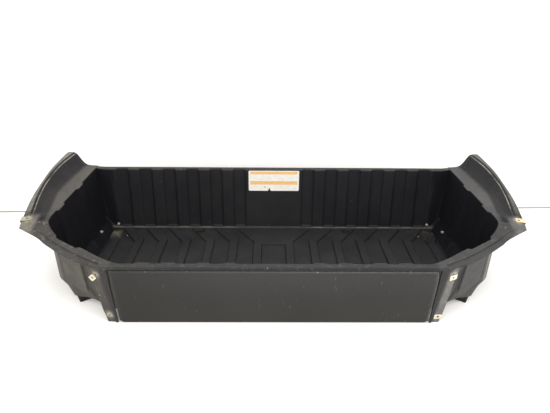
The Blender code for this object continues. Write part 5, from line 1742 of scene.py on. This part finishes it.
# ------------------------------------------------------------------ rubber pads
def rubber_pad(name, x, y, turn, width):
    height = 0.0196 if name.startswith("rear") else 0.0170
    shape = bmesh.new()
    bmesh.ops.create_cube(shape, size=1.0)
    bmesh.ops.scale(shape, vec=(width, PAD_DEPTH, height), verts=shape.verts)
    bmesh.ops.translate(shape, vec=(0, 0, height / 2), verts=shape.verts)

    def bevel(edges, offset, segments):
        bmesh.ops.bevel(shape, geom=edges, offset=offset, offset_type="OFFSET",
                        segments=segments, profile=0.5, affect="EDGES")

    bevel([e for e in shape.edges if abs(e.verts[0].co.z - e.verts[1].co.z) > 0.001],
          offset=0.0035, segments=4)
    bevel([e for e in shape.edges if len(e.link_faces) == 2 and e.calc_face_angle(0) > 0.9],
          offset=0.0016, segments=3)
    bmesh.ops.recalc_face_normals(shape, faces=shape.faces)
    pad = add_object("fine_foot_pad_" + name, shape, RUBBER)

    def pocket(cutter):
        """Screw hole, wide for the head below and narrow above."""
        lathe_cutter(cutter, [(-0.010, 0.0), (-0.010, 0.0062), (0.0002, 0.0062),
                              (0.0007, 0.0060), (0.0053, 0.0060), (0.0055, 0.0057),
                              (0.0055, 0.0026), (0.050, 0.0026), (0.050, 0.0)], 32)

    def grooves(cutter):
        """Three upright grooves on the front and three on the back."""
        for k in (-1, 0, 1):
            for side in (-1, 1):
                place = Matrix.Translation((k * width * 0.26, side * (PAD_DEPTH / 2 + 0.0006), 0))
                bmesh.ops.create_cone(cutter, cap_ends=True, segments=16, radius1=0.0014,
                                      radius2=0.0014, depth=0.060, matrix=place)

    cut(pad, pocket, "pad_pocket")
    cut(pad, grooves, "pad_grooves")
    shade(pad.data, 35)
    pad.matrix_world = (Matrix.Translation(SHIFT + Vector((x, y, 0)))
                        @ Matrix.Rotation(math.radians(turn), 4, "Z"))
    fit(pad, "foot_pad_" + name)


for name, place in PADS.items():
    rubber_pad(name, *place)

# ------------------------------------------------------------------ fascia panel
# half width by side, as (z, half width), and the face's slight forward bow, as (z, bow)
APRON_HALF_RIGHT = [(0.0, 0.3998), (0.0090, 0.4000), (0.0600, 0.4012), (0.1150, 0.4018),
                    (0.1450, 0.4008), (APRON_TOP_Z, 0.3972)]
APRON_HALF_LEFT = [(0.0, 0.3978), (0.0090, 0.3980), (0.0600, 0.3988), (0.1250, 0.3996),
                   (APRON_TOP_Z, 0.3998)]
APRON_BOW = [(0.0, 0.0), (0.050, 0.0006), (0.110, 0.0006), (0.1625, 0.0)]
APRON_TOP_R = 0.0046


def apron_y(z):
    return mix(APRON_LOW_Y, APRON_TOP_Y, z / APRON_TOP_Z) - smooth(z, APRON_BOW)


def apron_profile():
    """(y, z) points of the outer line: return flange, top edge, face and rounded foot."""
    points = [(APRON_TOP_Y + 0.0150 - k * 0.0014, APRON_TOP_Z) for k in range(8)]
    for k in range(1, 8):
        angle = math.radians(90 + 83 * k / 8)
        points.append((APRON_TOP_Y + APRON_TOP_R + APRON_TOP_R * math.cos(angle),
                       APRON_TOP_Z - APRON_TOP_R + APRON_TOP_R * math.sin(angle)))
    heights = list(np.linspace(APRON_TOP_Z - APRON_TOP_R - 0.0006, 0.0120, 38))
    heights += [0.0098, 0.0084, 0.0075, 0.0068, 0.0060, 0.0051]
    points += [(apron_y(z), z) for z in heights]
    for k in range(1, 6):
        angle = math.radians(90 * k / 5)
        points.append((apron_y(0.0042) + 0.0021 * (1 - math.cos(angle)),
                       0.0042 - 0.0040 * math.sin(angle)))
    return [Vector(p) for p in points]


def profile_normal(profile, k):
    """Direction from the outer line into the panel's thickness."""
    step = (profile[min(k + 1, len(profile) - 1)] - profile[max(k - 1, 0)]).normalized()
    normal = Vector((-step.y, step.x))
    if abs(step.y) > 0.2:
        return -normal if normal.x < 0 else normal
    return Vector((0, -1)) if k < 10 else normal


def apron_point(point, across, depth, normal):
    """Place on the panel; across runs from -1 at the left end to 1 at the right."""
    z = point.y
    half = smooth(z, APRON_HALF_RIGHT if across > 0 else APRON_HALF_LEFT)
    if z < 0.0075:                      # lower corners cut back
        half -= 0.0095 * (1 - z / 0.0075) ** 0.85
    x = half * across
    wave = (0.00035 * noise.noise(Vector((x * 7.0, z * 9.0, 3.3)))
            + 0.00015 * noise.noise(Vector((x * 24.0, z * 30.0, 7.7))))
    if abs(across) > 0.994:             # the two ends round off
        to_end = (abs(across) - 0.994) / 0.006
        wave += 0.0007 * to_end ** 2 * (1 if depth < 0.001 else -1)
    else:
        wave *= (min(1.0, max(0.0, (APRON_TOP_Z - 0.003 - z) / 0.01))
                 * min(1.0, max(0.0, (z - 0.004) / 0.01)))
    ragged = 0.0
    if z < 0.006:                       # uneven lower edge
        unevenness = 0.5 + 0.5 * noise.noise(Vector((x * 9.0, 1.0, 2.0)))
        ragged = 0.0006 * (1 - z / 0.006) * unevenness
    return (x, point.x + normal.x * depth + wave, z + normal.y * depth + ragged)


def apron_wear_and_highlight(point, across):
    """Weight of the painted highlight along the top edge and of wear at the two ends and the foot.
    """
    top = max(0.0, 1 - abs(point.y - (APRON_TOP_Z - 0.0012)) / 0.0045)
    if point.x >= APRON_TOP_Y + 0.0075:
        top = 0.0
    end = max(0.0, (abs(across) - 0.985) / 0.015)
    foot = max(0.0, 1 - point.y / 0.006) * 0.4
    return max(0.75 * top, 0.6 * end, foot)


def build_apron():
    shape = bmesh.new()
    wear = shape.verts.layers.float.new("wear")
    columns = 96
    stations = ([-1.0, -0.9985, -0.9955] + [2 * k / columns - 1 for k in range(1, columns)]
                + [0.9955, 0.9985, 1.0])
    profile = apron_profile()
    outer, inner = [], []
    for k, point in enumerate(profile):
        normal = profile_normal(profile, k)
        outer.append([])
        inner.append([])
        for across in stations:
            vert = shape.verts.new(apron_point(point, across, 0.0, normal))
            vert[wear] = apron_wear_and_highlight(point, across)
            outer[-1].append(vert)
            inner[-1].append(shape.verts.new(apron_point(point, across, APRON_T, normal)))
    spans = range(len(stations) - 1)
    for grid, way in ((outer, 1), (inner, -1)):
        for a, b in zip(grid, grid[1:]):
            for k in spans:
                shape.faces.new((a[k], b[k], b[k + 1], a[k + 1])[::way])
    for k in spans:                     # upper and lower edges
        shape.faces.new((outer[0][k], outer[0][k + 1], inner[0][k + 1], inner[0][k]))
        shape.faces.new((outer[-1][k + 1], outer[-1][k], inner[-1][k], inner[-1][k + 1]))
    for k in range(len(profile) - 1):   # left and right ends
        shape.faces.new((outer[k + 1][0], outer[k][0], inner[k][0], inner[k + 1][0]))
        shape.faces.new((outer[k][-1], outer[k + 1][-1], inner[k + 1][-1], inner[k][-1]))
    bmesh.ops.recalc_face_normals(shape, faces=shape.faces)
    return shape


def apron_holes(shape):
    for x in APRON_SCREW_X:
        tube(shape, 0.0021, 0.150, 0.175, Matrix.Translation((x, APRON_SCREW_Y, 0)))


apron = add_object("fine_apron_panel", build_apron(), APRON)
cut(apron, apron_holes, "apron_gates")
shade(apron.data, 40)
apron.data.transform(Matrix.Translation(SHIFT))
fit(apron, "apron_panel")

# ------------------------------------------------------------------ label
LABEL_W, LABEL_H, LABEL_T, LABEL_R, LABEL_MID_Z = 0.1680, 0.0695, 0.0005, 0.0040, 0.1957
# torn notch in the lower edge, as (x, height above the edge)
LABEL_NOTCH = [(-0.0500, 0.0), (-0.0220, 0.0), (-0.0196, 0.0), (-0.0184, 0.0022),
               (-0.0172, 0.0060), (-0.0158, 0.0090), (-0.0143, 0.0096), (-0.0133, 0.0070),
               (-0.0126, 0.0034), (-0.0104, 0.0012), (-0.0080, 0.0), (0.0400, 0.0)]
LABEL_SPOTS = [(-0.0293, -0.0215, 0.0019), (0.0093, 0.0322, 0.0011)]      # (x, y, radius)


def label_outline():
    points = []
    for side_x, side_y, start in ((1, 1, 0), (-1, 1, 90), (-1, -1, 180), (1, -1, 270)):
        if start == 270:
            points += [(x, -LABEL_H / 2 + up) for x, up in LABEL_NOTCH]
        for k in range(7):
            angle = math.radians(start + 15 * k)
            points.append((side_x * (LABEL_W / 2 - LABEL_R) + LABEL_R * math.cos(angle),
                           side_y * (LABEL_H / 2 - LABEL_R) + LABEL_R * math.sin(angle)))
    return counter_clockwise(points)


def build_label():
    outline = label_outline()
    top_line = inset(outline, 0.0002)
    count = len(top_line)
    extra = []
    for k in range(1, 24):
        for j in range(1, 11):
            x = mix(-LABEL_W / 2, LABEL_W / 2, k / 24)
            y = mix(-LABEL_H / 2, LABEL_H / 2, j / 11)
            by_notch = abs(x + 0.0155) < 0.006 and y < -0.022
            if (abs(x) < LABEL_W / 2 - 0.003 and abs(y) < LABEL_H / 2 - 0.003
                    and in_outline(x, y, top_line) and not by_notch):
                extra.append((x, y))
    for x, y, radius in LABEL_SPOTS:
        for r in (radius * 0.55, radius, radius * 1.15):
            extra += [(x + r * math.cos(k * math.pi / 6), y + r * math.sin(k * math.pi / 6))
                      for k in range(12)]
    verts, _, faces, _, _, _ = delaunay_2d_cdt(
        [Vector(p) for p in top_line + extra],
        [(k, (k + 1) % count) for k in range(count)], [], 1, 1e-7)
    shape = bmesh.new()
    wear = shape.verts.layers.float.new("wear")
    top = []
    for place in verts:
        vert = shape.verts.new((place.x, place.y, LABEL_T))
        if any(math.hypot(place.x - x, place.y - y) < r * 1.05 for x, y, r in LABEL_SPOTS):
            vert[wear] = 0.9
        top.append(vert)
    for face in faces:
        shape.faces.new([top[k] for k in face])
    upper, lower = ([shape.verts.new((x, y, z)) for x, y in outline]
                    for z in (LABEL_T - 0.0002, 0.0))
    for a, b in ((top, upper), (upper, lower)):
        for k in range(count):
            after = (k + 1) % count
            shape.faces.new((a[k], b[k], b[after], a[after]))
    shape.faces.new(lower[::-1])
    bmesh.ops.triangulate(shape, faces=[f for f in shape.faces if len(f.verts) > 4])
    bmesh.ops.recalc_face_normals(shape, faces=shape.faces)
    return shape


label = add_object("fine_info_label", build_label(), LABEL)
shade(label.data, 35)
label_mid = back_wall_point(0.0005, LABEL_MID_Z)
label.matrix_world = Matrix.Translation(SHIFT) @ frame_on(label_mid + BACK_NORMAL * GAP, BACK_NORMAL)
fit(label, "info_label")


# ------------------------------------------------------------------ studio
def studio_material(name, colour, rough):
    """Matt paint that the camera sees through from behind."""
    g = Graph(name)
    cloud = g.noise(scale=2.5, detail=3, rough=0.5)
    darker = tuple(channel * 0.985 for channel in colour)
    base = g.mix(cloud.rise(0.3, 0.7), colour, darker)
    material = g.finish(color=base, rough=rough, spec=0.2)
    behind = Value(g, g.node("ShaderNodeNewGeometry").outputs["Backfacing"])
    camera_ray = Value(g, g.node("ShaderNodeLightPath").outputs["Is Camera Ray"])
    blend = g.node("ShaderNodeMixShader")
    g.put(blend.inputs[0], behind * camera_ray)
    link = g.tree.links.new
    link(g.shader.outputs[0], blend.inputs[1])
    link(g.node("ShaderNodeBsdfTransparent").outputs[0], blend.inputs[2])
    link(blend.outputs[0], g.output.inputs["Surface"])
    return material


def build_backdrop():
    """Floor, narrow joint and rear wall; the wall stands at a small angle to X."""
    far, wall_y, joint, height = 6.0, 0.417, 0.004, 5.0
    profile = [(-far, 0.0), (wall_y - joint, 0.0), (wall_y, joint), (wall_y, height)]
    shape = bmesh.new()
    rows = [[shape.verts.new((x, y if y < -5 else y - 0.011 + 0.026 * x,
                              z - 0.0006 if z == 0.0 else z)) for y, z in profile]
            for x in (-far, far)]
    for k in range(len(profile) - 1):
        shape.faces.new((rows[0][k], rows[1][k], rows[1][k + 1], rows[0][k + 1]))
    return shape


paint_material = studio_material("studio_paint", (0.945, 0.935, 0.915), rough=0.7)
backdrop = add_object("studio_floor", build_backdrop(), paint_material)
backdrop.data.transform(Matrix.Translation(SHIFT))
backdrop.data.materials.append(studio_material("studio_joint", (0.30, 0.285, 0.255), rough=0.8))
backdrop.data.polygons[1].material_index = 1        # the joint between floor and wall

world = bpy.data.worlds.new("studio")
bpy.context.scene.world = world
world.use_nodes = True
background = world.node_tree.nodes["Background"]
background.inputs["Color"].default_value = (1.0, 0.995, 0.985, 1.0)
background.inputs["Strength"].default_value = 0.62


def area_light(name, place, target, size, power, colour=(1, 1, 1)):
    data = bpy.data.lights.new(name, "AREA")
    data.shape = "RECTANGLE"
    data.size, data.size_y = size
    data.energy = power
    data.color = colour
    light = bpy.data.objects.new(name, data)
    light.location = place
    aim = Vector(target) - Vector(place)
    light.rotation_euler = aim.to_track_quat("-Z", "Y").to_euler()
    LOOKS.objects.link(light)


area_light("ceiling", place=(0.1, -0.9, 3.0), target=(0, 0.1, 0), size=(3.2, 1.6), power=72,
           colour=(1.0, 0.994, 0.980))
area_light("front_fill", place=(-0.4, -3.2, 1.7), target=(0, 0, 0.1), size=(3.0, 1.5), power=38,
           colour=(1.0, 0.996, 0.988))
area_light("right_fill", place=(2.4, -0.9, 0.9), target=(0.55, 0.0, 0.05), size=(1.6, 1.0),
           power=15)
area_light("left_fill", place=(-2.4, -0.9, 0.9), target=(-0.55, 0.0, 0.05), size=(1.6, 1.0),
           power=8, colour=(1.0, 0.965, 0.89))

scene = bpy.context.scene
scene.view_settings.view_transform = "Standard"
scene.view_settings.look = "None"


def add_camera(place, pitch, yaw, roll, lens):
    """Camera looking along +Y, pitched down, then turned about Z and rolled (degrees)."""
    pitch, yaw, roll = (math.radians(angle) for angle in (pitch, yaw, roll))
    data = bpy.data.cameras.new("camera")
    data.lens = lens
    data.sensor_width = 36.0
    camera = bpy.data.objects.new("camera", data)
    LOOKS.objects.link(camera)
    turn = Matrix.Rotation(yaw, 3, "Z")
    right = turn @ Vector((1, 0, 0))
    up = turn @ Vector((0, math.sin(pitch), math.cos(pitch)))
    ahead = turn @ Vector((0, math.cos(pitch), -math.sin(pitch)))
    rolled_right = right * math.cos(roll) + up * math.sin(roll)
    rolled_up = up * math.cos(roll) - right * math.sin(roll)
    axes = Matrix((rolled_right, rolled_up, -ahead)).transposed().to_4x4()
    camera.matrix_world = Matrix.Translation(Vector(place) + SHIFT) @ axes
    scene.camera = camera


add_camera(place=(-0.0130, -1.16, 0.80), pitch=26.63, yaw=-0.7485, roll=0.5836, lens=29.78)
